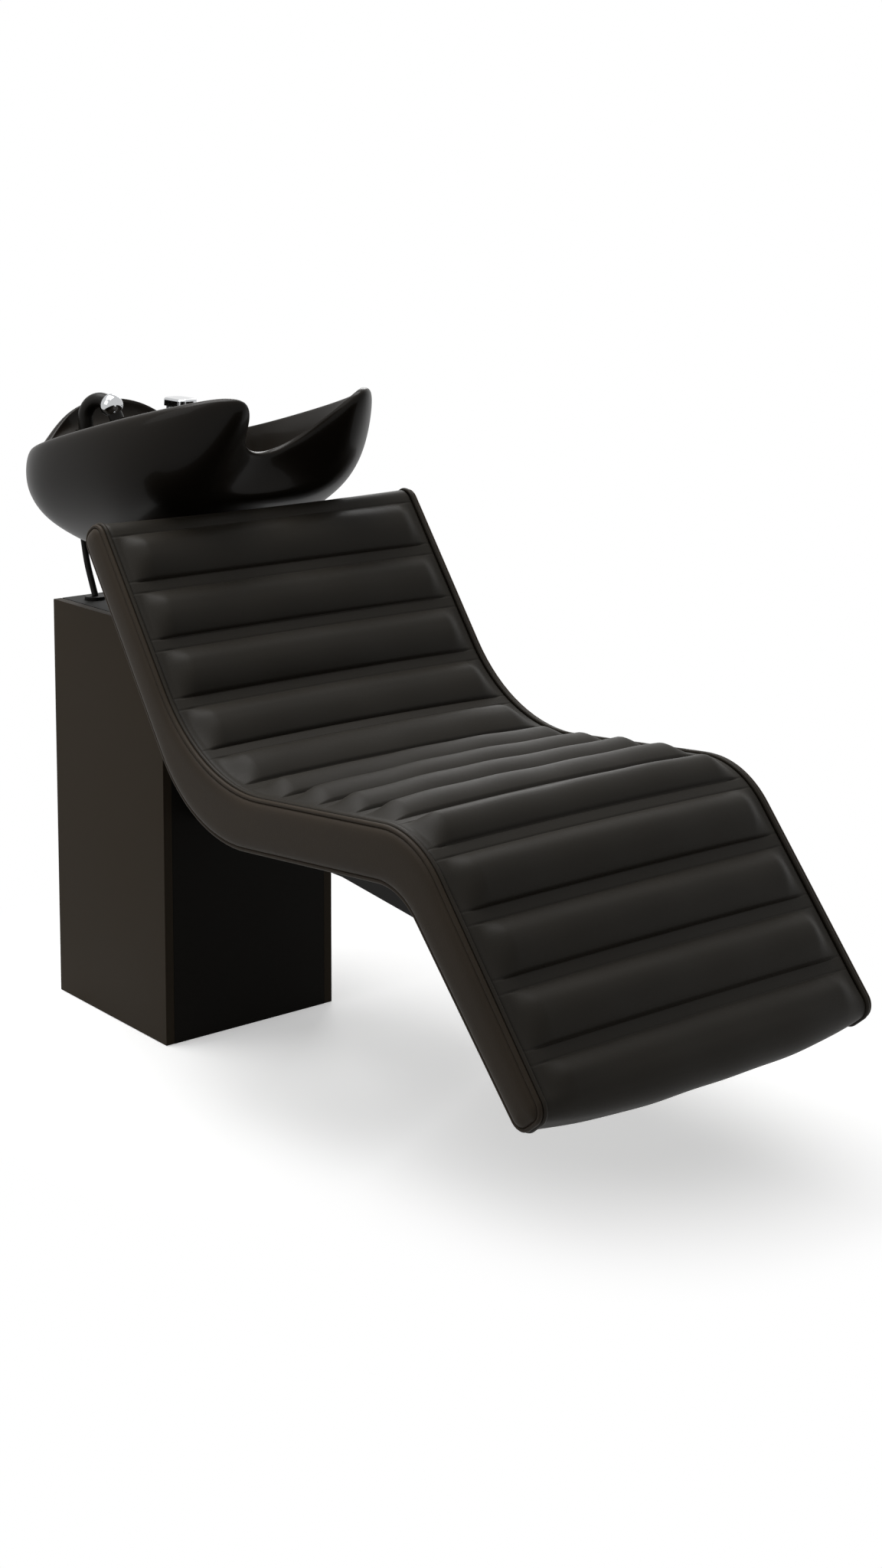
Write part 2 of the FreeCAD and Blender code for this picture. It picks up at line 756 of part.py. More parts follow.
def bowl_ring(shares, base_z, deck=None):
    height, width, front, rear, notch, square = shares
    front_length, rear_length = drain_y - bowl_horn_y, bowl_rear_y - drain_y
    ring = []
    for i in range(ring_points):
        step = math.tau * i / ring_points
        angle = step - crowding_share * math.sin(step)
        c, s = math.cos(angle), math.sin(angle)
        reach, power = rear, square
        if c < 0:
            power = rear_square_share + (square - rear_square_share) * (1 + c) ** 4
        weight = 0
        if deck:
            weight = deck[2] * swell(angle, math.pi, deck_reach_share, 4)
            reach += (deck[1] - reach) * weight
        x = width * bowl_width / 2 * math.copysign(abs(s) ** power, s)
        along = math.copysign(abs(c) ** power, c)
        plan_y = drain_y - along * (front_length if c > 0 else rear_length)
        y = drain_y - along * (front_length * front if c > 0 else rear_length * reach)
        cut = notch * swell(angle, 0, notch_reach_share, 2.6)
        x *= 1 + notch_spread_share * cut
        y += cut * (notch_y - bowl_horn_y)
        slope = (bowl_rear_y - plan_y) / (bowl_rear_y - bowl_horn_y)
        top = rim_rear_z + (rim_horn_z - rim_rear_z) * slope
        top += (hump_z - rim_rear_z) * swell(angle, math.pi, hump_reach_share, 4)
        top -= math.sqrt(notch) * (rim_horn_z - notch_z) * swell(angle, 0, notch_dip_share, 2.2)
        z = base_z + height * (top - base_z)
        if weight:
            z += (base_z + deck[0] * (deck_z - base_z) - z) * weight
        ring.append(Vector(x, y, z))
    return ring


def bowl_blank():
    """The bowl's wall as one smooth surface over its control rings, closed above and below the drain."""
    rings = [bowl_ring(shares, bowl_bottom_z) for shares in outer_ring_shares]
    floor_z = bowl_bottom_z + bowl_floor
    rings += [bowl_ring(a, floor_z, b) for a, b in zip(inner_ring_shares, deck_ring_shares)]
    poles = [[ring[i] for ring in rings] for i in range(ring_points)]
    surface = Part.BSplineSurface()
    spans = len(rings) - 3
    surface.buildFromPolesMultsKnots(
        poles, [1] * (ring_points + 1), [4] + [1] * (spans - 1) + [4],
        list(range(ring_points + 1)), list(range(spans + 1)), True, False, 3, 3,
    )
    wall = surface.toShape()
    caps = []
    for edge in wall.Edges:
        if edge.BoundBox.ZLength < fit_gap:
            caps.append(Part.Face(Part.Wire([edge])))
    shell = Part.makeShell([wall] + caps)
    shell.sewShape()
    solid = Part.makeSolid(shell)
    if solid.Volume < 0:
        solid.reverse()
    return solid


def seat_level(shape, x, y, radius):
    """The lowest point of the shape's upper face round a circle, for a flat seat cut into it."""
    levels = []
    for i in range(12):
        angle = math.tau * i / 12
        px, py = x + radius * math.cos(angle), y + radius * math.sin(angle)
        line = Part.makeLine(Vector(px, py, bowl_bottom_z), Vector(px, py, rim_horn_z))
        levels.append(shape.common(line).BoundBox.ZMax)
    return min(levels)


def pedestal_bolts(gap=0.0):
    """The four bolts, or with a gap the clearance holes for their shanks."""
    bolts = []
    low = plinth_height - cover_thickness - column_cap
    for x in (pedestal_bolt_inset - pedestal_width / 2, pedestal_width / 2 - pedestal_bolt_inset):
        for y in (pedestal_front_y + pedestal_bolt_inset, pedestal_rear_y - pedestal_bolt_inset):
            seat = plinth_height + pedestal_thickness
            bolt = rod(x, y, low, pedestal_bolt_radius + gap, seat - low)
            head = rod(x, y, seat, 2 * pedestal_bolt_radius, pedestal_bolt_head)
            bolts.append(bolt.fuse(head).removeSplitter())
    return bolts


def tilt_mount():
    across = Vector(1, 0, 0)
    pedestal = box(-pedestal_width / 2, pedestal_front_y, plinth_height,
                   pedestal_width / 2, pedestal_rear_y, plinth_height + pedestal_thickness)
    pedestal = pedestal.cut(rod(0, drain_y, plinth_height, waste_hole_radius, pedestal_thickness))
    bush_radius = pivot_radius + bush_wall
    upright_x = ear_half_gap - bush_flange - fit_gap - upright_thickness
    bushes = []
    for side in (-1, 1):
        x = min(side * upright_x, side * (upright_x + upright_thickness))
        post = box(x, tilt_pivot_y - upright_radius, plinth_height + pedestal_thickness,
                   x + upright_thickness, tilt_pivot_y + upright_radius, tilt_pivot_z)
        eye = rod(x, tilt_pivot_y, tilt_pivot_z, upright_radius, upright_thickness, across)
        pedestal = pedestal.fuse([post, eye])
        hole = rod(x, tilt_pivot_y, tilt_pivot_z, bush_radius, upright_thickness, across)
        pedestal = pedestal.cut(hole)
        bush = rod(x, tilt_pivot_y, tilt_pivot_z, bush_radius, upright_thickness, across)
        flange_x = x + upright_thickness if side > 0 else x - bush_flange
        bush = bush.fuse(rod(flange_x, tilt_pivot_y, tilt_pivot_z, bush_flange_radius, bush_flange, across))
        bore = rod(-ear_half_gap, tilt_pivot_y, tilt_pivot_z,
                   pivot_radius + pivot_clearance, 2 * ear_half_gap, across)
        bushes.append(bush.removeSplitter().cut(bore))
    for hole in pedestal_bolts(fit_gap):
        pedestal = pedestal.cut(hole)
    save("tilt_pedestal", pedestal.removeSplitter())
    save("pedestal_bolts", group(pedestal_bolts()))
    save("pivot_bushes", group(bushes))
    plate_low = bowl_bottom_z - carrier_thickness
    carrier = box(-carrier_width / 2, carrier_front_y, plate_low,
                  carrier_width / 2, carrier_rear_y, bowl_bottom_z)
    carrier = carrier.cut(rod(0, drain_y, plate_low, carrier_hole, carrier_thickness))
    pin_length = 2 * (ear_half_gap + ear_thickness)
    for side in (-1, 1):
        x = ear_half_gap if side > 0 else -ear_half_gap - ear_thickness
        ear = box(x, tilt_pivot_y - ear_radius, tilt_pivot_z,
                  x + ear_thickness, tilt_pivot_y + ear_radius, plate_low)
        eye = rod(x, tilt_pivot_y, tilt_pivot_z, ear_radius, ear_thickness, across)
        carrier = carrier.fuse([ear, eye])
    pin = rod(-pin_length / 2, tilt_pivot_y, tilt_pivot_z, pivot_radius, pin_length, across)
    carrier = carrier.removeSplitter().cut(pin)
    for x in (-pin_length / 2 - pivot_head, pin_length / 2):
        pin = pin.fuse(rod(x, tilt_pivot_y, tilt_pivot_z, pivot_head_radius, pivot_head, across))
    save("bowl_carrier", carrier)
    save("pivot_pin", pin.removeSplitter())


def bowl_and_taps():
    bowl = bowl_blank()
    floor_z = bowl_bottom_z + bowl_floor
    bowl = bowl.cut(rod(0, drain_y, bowl_bottom_z - cut_overrun, drain_bore, 2 * cut_overrun + bowl_floor))
    pocket = box(-pocket_width / 2, pocket_front_y, bowl_bottom_z - cut_overrun,
                 pocket_width / 2, pocket_rear_y, pocket_top_z)
    bowl = bowl.cut(pocket)
    mixer_z = seat_level(bowl, mixer_x, mixer_y, mixer_seat_radius)
    holder_z = seat_level(bowl, shower_x, shower_y, holder_seat_radius)
    bowl = bowl.cut(rod(mixer_x, mixer_y, mixer_z, mixer_seat_radius, rim_horn_z - mixer_z))
    bowl = bowl.cut(rod(shower_x, shower_y, holder_z, holder_seat_radius, rim_horn_z - holder_z))
    shank_radius = mixer_shank_radius + fit_gap
    bowl = bowl.cut(rod(mixer_x, mixer_y, pocket_top_z, shank_radius, mixer_z - pocket_top_z))
    shank_radius = holder_shank_radius + fit_gap
    bowl = bowl.cut(rod(shower_x, shower_y, pocket_top_z, shank_radius, holder_z - pocket_top_z))
    save("bowl", bowl.Solids[0])
    drain_set(floor_z)
    mixer(mixer_z)
    hand_shower(holder_z)


def drain_set(floor_z):
    outer = drain_bore - fit_gap
    inner = outer - drain_wall
    flange = tube(0, drain_y, floor_z, flange_radius, inner, flange_thickness)
    tail = tube(0, drain_y, drain_tail_z, outer, inner, floor_z - drain_tail_z)
    seat = tube(0, drain_y, drain_tail_z, outer, strainer_radius - drain_wall, drain_wall)
    rest_z = floor_z - strainer_post_length
    ledge = tube(0, drain_y, rest_z, outer, strainer_radius - drain_wall, drain_wall)
    save("drain_flange", flange.fuse([tail, seat, ledge]).removeSplitter())
    low = bowl_bottom_z - gasket_thickness
    save("drain_gasket", tube(0, drain_y, low, gasket_radius, drain_bore, gasket_thickness))
    save("drain_nut", tube(0, drain_y, low - nut_height, nut_radius, outer + fit_gap / 2, nut_height))
    plate_z = rest_z + drain_wall
    strainer = rod(0, drain_y, plate_z, strainer_radius, strainer_thickness)
    for i in range(strainer_hole_count):
        angle = math.tau * i / strainer_hole_count
        x = strainer_hole_circle * math.cos(angle)
        y = drain_y + strainer_hole_circle * math.sin(angle)
        strainer = strainer.cut(rod(x, y, plate_z, strainer_hole_radius, strainer_thickness))
    knob = rod(0, drain_y, plate_z + strainer_thickness, strainer_knob_radius, strainer_knob)
    save("strainer", strainer.fuse(knob).removeSplitter())


def mixer(seat_z):
    body = rod(mixer_x, mixer_y, seat_z, mixer_base_radius, mixer_base)
    top = seat_z + mixer_height
    body = body.fuse(rod(mixer_x, mixer_y, seat_z, mixer_radius, mixer_height))
    nut_z = pocket_top_z - mixer_nut
    shank_z = nut_z - mixer_nut
    body = body.fuse(rod(mixer_x, mixer_y, shank_z, mixer_shank_radius, seat_z - shank_z))
    room_radius = turret_spigot_radius + pivot_clearance
    spigot_room = rod(mixer_x, mixer_y, top - turret_spigot, room_radius, turret_spigot)
    save("mixer_body", body.removeSplitter().cut(spigot_room))
    save("mixer_nut", tube(mixer_x, mixer_y, nut_z, mixer_nut_radius, mixer_shank_radius, mixer_nut))
    turret_z = top + pivot_clearance
    turret_top = turret_z + turret_height
    turret = rod(mixer_x, mixer_y, turret_z, turret_radius, turret_height)
    spigot_z = turret_z - turret_spigot
    turret = turret.fuse(rod(mixer_x, mixer_y, spigot_z, turret_spigot_radius, turret_spigot))
    pin_y = mixer_y + turret_radius - lever_pivot_inset
    pin_z = turret_top + lever_knuckle + pivot_clearance
    across = Vector(1, 0, 0)
    half = lever_knuckle_width / 2 + pivot_clearance
    bore_radius = lever_pin_radius + pivot_clearance
    for x in (mixer_x - half - lever_ear_width, mixer_x + half):
        eye = rod(x, pin_y, pin_z, lever_knuckle, lever_ear_width, across)
        foot = box(x, pin_y - lever_knuckle, turret_top - pivot_clearance,
                   x + lever_ear_width, pin_y + lever_knuckle, pin_z)
        turret = turret.fuse([eye, foot])
    pin_x = mixer_x - half - lever_ear_width
    pin = rod(pin_x, pin_y, pin_z, lever_pin_radius, 2 * (half + lever_ear_width), across)
    save("mixer_turret", turret.removeSplitter().cut(pin))
    save("lever_pin", pin)
    lever_z = pin_z + lever_knuckle + fit_gap
    rear = pin_y + lever_overhang - lever_pivot_inset
    plate = box(mixer_x - lever_width / 2, rear - lever_length, lever_z,
                mixer_x + lever_width / 2, rear, lever_z + lever_thickness)
    upright = [e for e in plate.Edges if e.BoundBox.ZLength > lever_thickness / 2]
    plate = plate.makeFillet(lever_overhang, upright)
    rims = [e for e in plate.Edges if e.BoundBox.ZMin > lever_z + lever_thickness / 2]
    plate = plate.makeFillet(lever_round, rims)
    knuckle_x = mixer_x - lever_knuckle_width / 2
    lug = rod(knuckle_x, pin_y, pin_z, lever_knuckle, lever_knuckle_width, across)
    web = box(knuckle_x, pin_y - lever_knuckle, pin_z,
              knuckle_x + lever_knuckle_width, pin_y + lever_knuckle, lever_z)
    lever = plate.fuse([lug, web]).removeSplitter()
    save("mixer_lever", lever.cut(rod(knuckle_x, pin_y, pin_z, bore_radius, lever_knuckle_width, across)))


def hand_shower(seat_z):
    bore = shower_hose_radius + fit_gap
    collar = tube(shower_x, shower_y, seat_z, holder_radius, bore, holder_height)
    shank = tube(shower_x, shower_y, pocket_top_z, holder_shank_radius, bore, seat_z - pocket_top_z)
    save("shower_holder", collar.fuse(shank).removeSplitter())
    base_z = seat_z + holder_height + pivot_clearance
    heading = math.radians(shower_heading)
    ahead = Vector(math.cos(heading), math.sin(heading), 0)
    sideways = Vector(-math.sin(heading), math.cos(heading), 0)
    grip = rod(shower_x, shower_y, base_z, shower_grip_radius, shower_rise)
    bend_z = base_z + shower_rise
    centre = Vector(shower_x, shower_y, bend_z) + ahead * shower_bend
    up = Vector(0, 0, 1)
    ring = Part.makeCircle(shower_grip_radius, Vector(shower_x, shower_y, bend_z), up)
    arch = Part.Face(Part.Wire(ring)).revolve(centre, sideways, shower_sweep)
    sweep = math.radians(shower_sweep)
    arch_end = centre + (up * math.sin(sweep) - ahead * math.cos(sweep)) * shower_bend
    outward = ahead * math.sin(sweep) + up * math.cos(sweep)
    neck = Part.makeCylinder(shower_grip_radius, shower_neck, arch_end, outward)
    head_centre = arch_end + outward * shower_neck
    ball = Part.makeSphere(shower_head_radius, head_centre)
    save("shower_handle", grip.fuse([arch, neck]).removeSplitter().cut(ball))
    tilt = math.radians(spray_tilt)
    facing = ahead * math.sin(tilt) - up * math.cos(tilt)
    face_centre = head_centre + facing * (shower_head_radius - spray_height)
    spray = Part.makeCylinder(spray_radius, 2 * spray_height, face_centre, facing)
    save("shower_head", ball.cut(spray))
    save("spray_plate", spray)
    hose_z = base_z - shower_hose_length
    save("shower_hose", rod(shower_x, shower_y, hose_z, shower_hose_radius, shower_hose_length))


def bent_tube(points, radius):
    """A tube along straight runs joined by arcs as large as the runs allow."""
    corners = [Vector(*p) for p in points]
    edges, last = [], corners[0]
    for a, b, c in zip(corners, corners[1:], corners[2:]):
        back, on = (a - b).normalize(), (c - b).normalize()
        half = (math.pi - back.getAngle(on)) / 2
        reach = bend_reach_share * min((a - b).Length, (c - b).Length)
        bend = reach / math.tan(half)
        start, stop = b + back * reach, b + on * reach
        crown = b + (back + on).normalize() * (bend / math.cos(half) - bend)
        edges += [Part.LineSegment(last, start).toShape(), Part.Arc(start, crown, stop).toShape()]
        last = stop
    edges.append(Part.LineSegment(last, corners[-1]).toShape())
    spine = Part.Wire(edges)
    profile = Part.Wire(Part.makeCircle(radius, corners[0], corners[1] - corners[0]))
    return spine.makePipeShell([profile], True, False)


def water_supply():
    inner_w = plinth_width / 2 - board
    rear = Vector(0, 1, 0)
    rail = box(-inner_w, valve_rail_y, valve_rail_z - valve_rail_height / 2,
               inner_w, valve_rail_y + valve_rail_thickness, valve_rail_z + valve_rail_height / 2)
    body_y = valve_rail_y + valve_rail_thickness
    stem_y = body_y + valve_length
    neck_top = valve_rail_z + valve_radius + valve_neck
    cover_low = plinth_height - cover_thickness
    for name, side in (("cold", -1), ("hot", 1)):
        x = side * valve_x
        hole_radius = valve_neck_radius + fit_gap
        rail = rail.cut(rod(x, valve_rail_y, valve_rail_z, hole_radius, valve_rail_thickness, rear))
        body = rod(x, body_y, valve_rail_z, valve_radius, valve_length, rear)
        inlet = rod(x, valve_rail_y, valve_rail_z, valve_neck_radius, valve_rail_thickness, rear)
        hose_y = body_y + valve_length / 2
        neck = rod(x, hose_y, valve_rail_z, valve_neck_radius, neck_top - valve_rail_z)
        stem = rod(x, stem_y, valve_rail_z, valve_stem_radius, valve_stem, rear)
        save(name + "_valve", body.fuse([inlet, neck, stem]).removeSplitter())
        handle_y = stem_y + fit_gap
        lever = box(x - valve_lever_width / 2, handle_y, valve_rail_z - valve_lever_width / 2,
                    x + valve_lever_width / 2, handle_y + valve_lever, valve_rail_z + valve_lever_length)
        hub = rod(x, handle_y, valve_rail_z, valve_lever_width, valve_lever, rear)
        room = rod(x, handle_y, valve_rail_z, valve_stem_radius + pivot_clearance, valve_stem, rear)
        save(name + "_valve_lever", lever.fuse(hub).removeSplitter().cut(room))
        grommet_low = cover_low - grommet_neck
        reach = side * grommet_x
        mid_z = (neck_top + grommet_low) / 2
        hose = bent_tube(
            [(x, hose_y, neck_top), (x, hose_y, mid_z), (reach, grommet_y, mid_z + hose_slant),
             (reach, grommet_y, plinth_height + grommet_height)], hose_radius)
        save(name + "_hose", hose)
        low = plinth_height + grommet_height
        riser = bent_tube(
            [(reach, grommet_y, low), (reach, grommet_y, low + riser_lead),
             (reach, riser_top_y, riser_top_z - riser_lead), (reach, riser_top_y, riser_top_z)], hose_radius)
        save(name + "_riser", riser)
    tails = both_sides(rod(grommet_x, riser_top_y, riser_top_z, tail_radius, pocket_top_z - riser_top_z))
    save("supply_tails", group(tails))
    save("valve_rail", rail)
    grommets = []
    for x in (-grommet_x, grommet_x):
        flange = rod(x, grommet_y, plinth_height, grommet_radius, grommet_height)
        neck_low = cover_low - grommet_neck
        neck = rod(x, grommet_y, neck_low, grommet_neck_radius - fit_gap, plinth_height - neck_low)
        bore = rod(x, grommet_y, neck_low, hose_radius, plinth_height)
        grommets.append(flange.fuse(neck).removeSplitter().cut(bore))
    save("hose_grommets", group(grommets))


def waste():
    outer = drain_bore - fit_gap
    inner = outer - waste_hose_wall
    save("waste_hose", tube(0, drain_y, waste_hose_z, outer, inner, drain_tail_z - waste_hose_z))
    trap_low = waste_hose_z - trap_height
    trap = rod(0, drain_y, trap_low, trap_radius, trap_height)
    trap = trap.cut(rod(0, drain_y, trap_low + waste_hose_wall, trap_radius - waste_hose_wall, trap_height))
    lid = rod(0, drain_y, waste_hose_z - trap_cap, trap_cap_radius, trap_cap)
    lid = lid.cut(rod(0, drain_y, waste_hose_z - trap_cap, inner, trap_cap))
    arm_length = waste_pipe_y - drain_y
    along = Vector(0, 1, 0)
    arm = rod(0, drain_y, waste_pipe_z, waste_pipe_radius, arm_length, along)
    elbow = Part.makeSphere(waste_pipe_radius, Vector(0, waste_pipe_y, waste_pipe_z))
    down = rod(0, waste_pipe_y, 0, waste_pipe_radius, waste_pipe_z)
    bore_radius = waste_pipe_radius - waste_pipe_wall
    pipe = arm.fuse([elbow, down])
    pipe = pipe.cut(rod(0, drain_y, trap_low, trap_radius, trap_height))
    pipe = pipe.cut(rod(0, waste_pipe_y, 0, bore_radius, waste_pipe_z))
    pipe = pipe.cut(rod(0, drain_y, waste_pipe_z, bore_radius, arm_length, along))
    port = rod(0, drain_y, waste_pipe_z, bore_radius, trap_radius + waste_pipe_radius, along)
    save("bottle_trap", trap.fuse(lid).removeSplitter().cut(port))
    save("waste_pipe", pipe.removeSplitter())


os.makedirs("parts", exist_ok=True)
lounger()
plinth(seat_beam())
service_door()
tilt_mount()
bowl_and_taps()
water_supply()
waste()
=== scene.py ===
"""Dresses the salon backwash unit: quilted lounger, laminate plinth, glazed wash bowl and its fittings."""

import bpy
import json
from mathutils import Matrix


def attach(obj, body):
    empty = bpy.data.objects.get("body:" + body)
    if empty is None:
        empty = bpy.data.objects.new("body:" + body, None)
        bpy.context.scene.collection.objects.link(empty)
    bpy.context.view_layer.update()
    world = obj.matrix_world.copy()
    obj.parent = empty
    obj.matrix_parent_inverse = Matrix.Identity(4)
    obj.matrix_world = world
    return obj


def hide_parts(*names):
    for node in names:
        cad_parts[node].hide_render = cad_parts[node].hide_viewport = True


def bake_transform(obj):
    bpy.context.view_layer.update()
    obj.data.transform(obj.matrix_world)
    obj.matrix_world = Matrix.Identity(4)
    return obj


bl_info = {
    "name": "Salon Backwash Unit",
    "version": (1, 0, 0),
    "blender": (4, 5, 0),
    "location": "View3D > Sidebar > Backwash",
    "description": "Builds the looks of a salon backwash unit around its measured frame",
    "category": "Object",
}

import json
import math

import bpy
import numpy as np
from bpy.props import FloatProperty, FloatVectorProperty, IntProperty, PointerProperty
from bpy.types import Operator, Panel, PropertyGroup

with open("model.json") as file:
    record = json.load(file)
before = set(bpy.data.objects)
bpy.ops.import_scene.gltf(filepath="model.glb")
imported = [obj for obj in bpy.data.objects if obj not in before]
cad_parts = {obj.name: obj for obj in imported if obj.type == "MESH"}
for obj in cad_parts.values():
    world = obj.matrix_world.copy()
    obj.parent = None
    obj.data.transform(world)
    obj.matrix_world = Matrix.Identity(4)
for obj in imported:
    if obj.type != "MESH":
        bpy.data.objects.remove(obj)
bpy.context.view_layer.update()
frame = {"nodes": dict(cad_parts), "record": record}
finishes = {}
black = (0.0, 0.0, 0.0, 1.0)
white = (1.0, 1.0, 1.0, 1.0)


def length(label, text, value):
    return FloatProperty(name=label, description=text, default=value, unit="LENGTH", precision=4)


def number(label, text, value, unit="NONE"):
    return FloatProperty(name=label, description=text, default=value, unit=unit)


def angle(label, text, degrees):
    return FloatProperty(name=label, description=text, default=math.radians(degrees), subtype="ANGLE")


def share(label, text, value):
    return FloatProperty(name=label, description=text, default=value, min=0.0, max=2.0, subtype="FACTOR")


def count(label, text, value):
    return IntProperty(name=label, description=text, default=value, min=1)


def colour(label, text, value):
    return FloatVectorProperty(
        name=label, description=text, default=value, subtype="COLOR", size=3, min=0.0, max=1.0
    )


def from_hex(code):
    """Linear colour of a six-digit sRGB code."""
    channels = [int(code[i : i + 2], 16) / 255 for i in (0, 2, 4)]
    return tuple(c / 12.92 if c <= 0.04045 else ((c + 0.055) / 1.055) ** 2.4 for c in channels)


class LoungerSizes(PropertyGroup):
    """The lounger's side outline and the channels sewn into its pad."""

    hip_y: length("Hip Y", "Where the back's line meets the seat's line", -0.482)
    hip_z: length("Hip Z", "Height where the back's line meets the seat's line", 0.527)
    back: length("Back", "Length of the back from the hip to its top", 0.454)
    seat: length("Seat", "Length of the seat from the hip to the knee", 0.513)
    leg: length("Leg", "Length of the leg rest from the knee to the foot", 0.403)
    back_angle: angle("Back Angle", "Slope of the back", 53.3)
    seat_rise: angle("Seat Rise", "Slope of the seat towards the knee", 5.7)
    leg_angle: angle("Leg Angle", "Slope of the leg rest", 49.7)
    back_top: length("Back Top", "Thickness of the back at its top", 0.057)
    back_hip: length("Back Hip", "Thickness of the back at the hip", 0.065)
    seat_depth: length("Seat Depth", "Thickness of the seat", 0.0835)
    leg_knee: length("Leg Knee", "Thickness of the leg rest at the knee", 0.0836)
    leg_foot: length("Leg Foot", "Thickness of the leg rest at the foot", 0.066)
    hip_round: length("Hip Round", "Radius of the seat's bend at the hip", 0.274)
    knee_round: length("Knee Round", "Radius of the bend over the knee", 0.139)
    under_hip: length("Under Hip", "Radius of the underside at the hip", 0.238)
    under_knee: length("Under Knee", "Radius of the underside at the knee", 0.097)
    top_round: length("Top Round", "Radius of the corners at the top of the back", 0.025)
    foot_round: length("Foot Round", "Radius of the corners at the foot", 0.024)
    half_width: length("Half Width", "Half the lounger's width", 0.310)
    side_pad: length("Side Pad", "Thickness of the side cushions", 0.008)
    piping: length("Piping", "Diameter of the piping", 0.007)
    gap: length("Gap", "Gap between layers", 0.0003)
    pad: length("Pad", "Thickness of the quilted pad", 0.030)
    wrap: length("Wrap", "How far the pad wraps round the ends", 0.026)
    margin: length("Margin", "Plain border above the first channel", 0.034)
    back_pitch: length("Back Pitch", "Distance between channels on the back", 0.0995)
    seat_pitch: length("Seat Pitch", "Distance between channels on the seat", 0.088)
    leg_pitch: length("Leg Pitch", "Distance between channels on the leg rest", 0.097)
    back_channels: count("Back Channels", "Channels on the back", 5)
    seat_channels: count("Seat Channels", "Channels on the seat", 5)
    leg_channels: count("Leg Channels", "Channels on the leg rest", 4)
    strip: length("Strip", "Flat strip between two channels", 0.020)
    puff: length("Puff", "How high a channel rises", 0.0180)
    puff_rise: length("Puff Rise", "How far a channel's upper edge takes to rise", 0.030)
    puff_roll: length("Puff Roll", "How far a channel's lower edge takes to roll under", 0.042)
    end_inset: length("End Inset", "Plain border beside the channels' ends", 0.012)
    end_rise: length("End Rise", "How far a channel's end takes to rise", 0.036)
    seam: length("Seam", "Depth of a seam's groove", 0.0014)
    seam_width: length("Seam Width", "Half the width of a seam's groove", 0.0016)
    sink: length("Sink", "How far the pad's flat parts lie under its outline", 0.0012)
    edge_drop: length("Edge Drop", "How far the pad drops beside the piping", 0.0032)
    edge_round: length("Edge Round", "Width of the drop beside the piping", 0.007)
    bow: length("Bow", "How far the pad bows up along its middle", 0.0060)
    head_dip: length("Head Dip", "How far the top edge dips along its middle", 0.0040)
    pucker: length("Pucker", "Height of the small puckers along a seam", 0.00022)


class BowlSizes(PropertyGroup):
    """The wash bowl's control rings."""

    width: length("Width", "Width of the bowl's cage", 0.490)
    horn_y: length("Horn Y", "Front end of the bowl's cage", -0.380)
    rear_y: length("Rear Y", "Rear end of the bowl's cage", 0.284)
    bottom_z: length("Bottom Z", "Height of the bowl's foot", 0.770)
    rear_z: length("Rear Z", "Height of the rim's line at the rear", 0.926)
    horn_z: length("Horn Z", "Height of the rim's line at the horns", 1.089)
    notch_y: length("Notch Y", "How far back the neck notch reaches", -0.218)
    notch_z: length("Notch Z", "Height of the neck notch", 0.960)
    hump_z: length("Hump Z", "Height of the rim behind the taps", 1.020)
    deck_z: length("Deck Z", "Height of the tap deck", 0.960)
    floor: length("Floor", "Thickness of the bowl's floor", 0.016)
    drain_y: length("Drain Y", "Place of the drain", 0.030)
    drain: length("Drain", "Radius of the drain's bore", 0.024)
    notch_reach: angle("Notch Reach", "Half the neck notch's angle", 14.6104)
    notch_spread: share("Notch Spread", "How far the notch pushes its sides apart", 0.40)
    dip_reach: angle("Dip Reach", "Half the angle of the rim's dip at the notch", 15.7563)
    hump_reach: angle("Hump Reach", "Half the angle of the hump behind the taps", 26.3561)
    deck_reach: angle("Deck Reach", "Half the tap deck's angle", 45.8366)
    rear_square: share("Rear Square", "Squareness of the bowl's rear", 0.86)
    rim_crease: share("Rim Crease", "Sharpness of the rim's edge", 0.6)
    points: count("Points", "Control points round each ring", 28)
    crowding: share("Crowding", "How closely the control points crowd towards the notch", 0.42)
    smoothing: count("Smoothing", "Subdivision steps", 3)


class Finishes(PropertyGroup):
    """Colours of the finishes."""

    cushion: colour("Cushion", "Faux leather of the pad", from_hex("1F1C17"))
    piping: colour("Piping", "Faux leather of the piping", from_hex("231F19"))
    side: colour("Side", "Faux leather of the side cushions", from_hex("312A22"))
    laminate: colour("Laminate", "Laminate of the plinth's sides", from_hex("342D24"))
    # The front and door are the same laminate as the sides; this darker tone is painted shade for the front,
    # which lies in shade
    front: colour("Front", "Laminate of the plinth's front and door", from_hex("110F0C"))
    cover: colour("Cover", "Laminate of the plinth's cover", from_hex("1B1A17"))
    glaze: colour("Glaze", "Glaze of the bowl", from_hex("14100B"))
    rubber: colour("Rubber", "Hoses and grommets", from_hex("171614"))
    plastic: colour("Plastic", "Shower handle and black steel", from_hex("12100D"))
    iron: colour("Iron", "Ballast plates", (0.05, 0.05, 0.05))
    zinc: colour("Zinc", "Bolts, hinges and latch", (0.42, 0.42, 0.43))
    chrome: colour("Chrome", "Mixer, shower head and drain", (0.52, 0.53, 0.54))
    brass: colour("Brass", "Valves and tails", (0.60, 0.42, 0.16))
    waste: colour("Waste", "Waste pipe, trap and hose", (0.62, 0.62, 0.60))
    hot: colour("Hot", "Grip of the hot valve", (0.36, 0.02, 0.02))
    cold: colour("Cold", "Grip of the cold valve", (0.02, 0.05, 0.34))
    pale_birch: colour("Pale Birch", "Pale grain of the plywood", (0.56, 0.40, 0.22))
    dark_birch: colour("Dark Birch", "Dark grain of the plywood", (0.30, 0.19, 0.09))
    floor: colour("Floor", "Studio floor", from_hex("F4F4F3"))


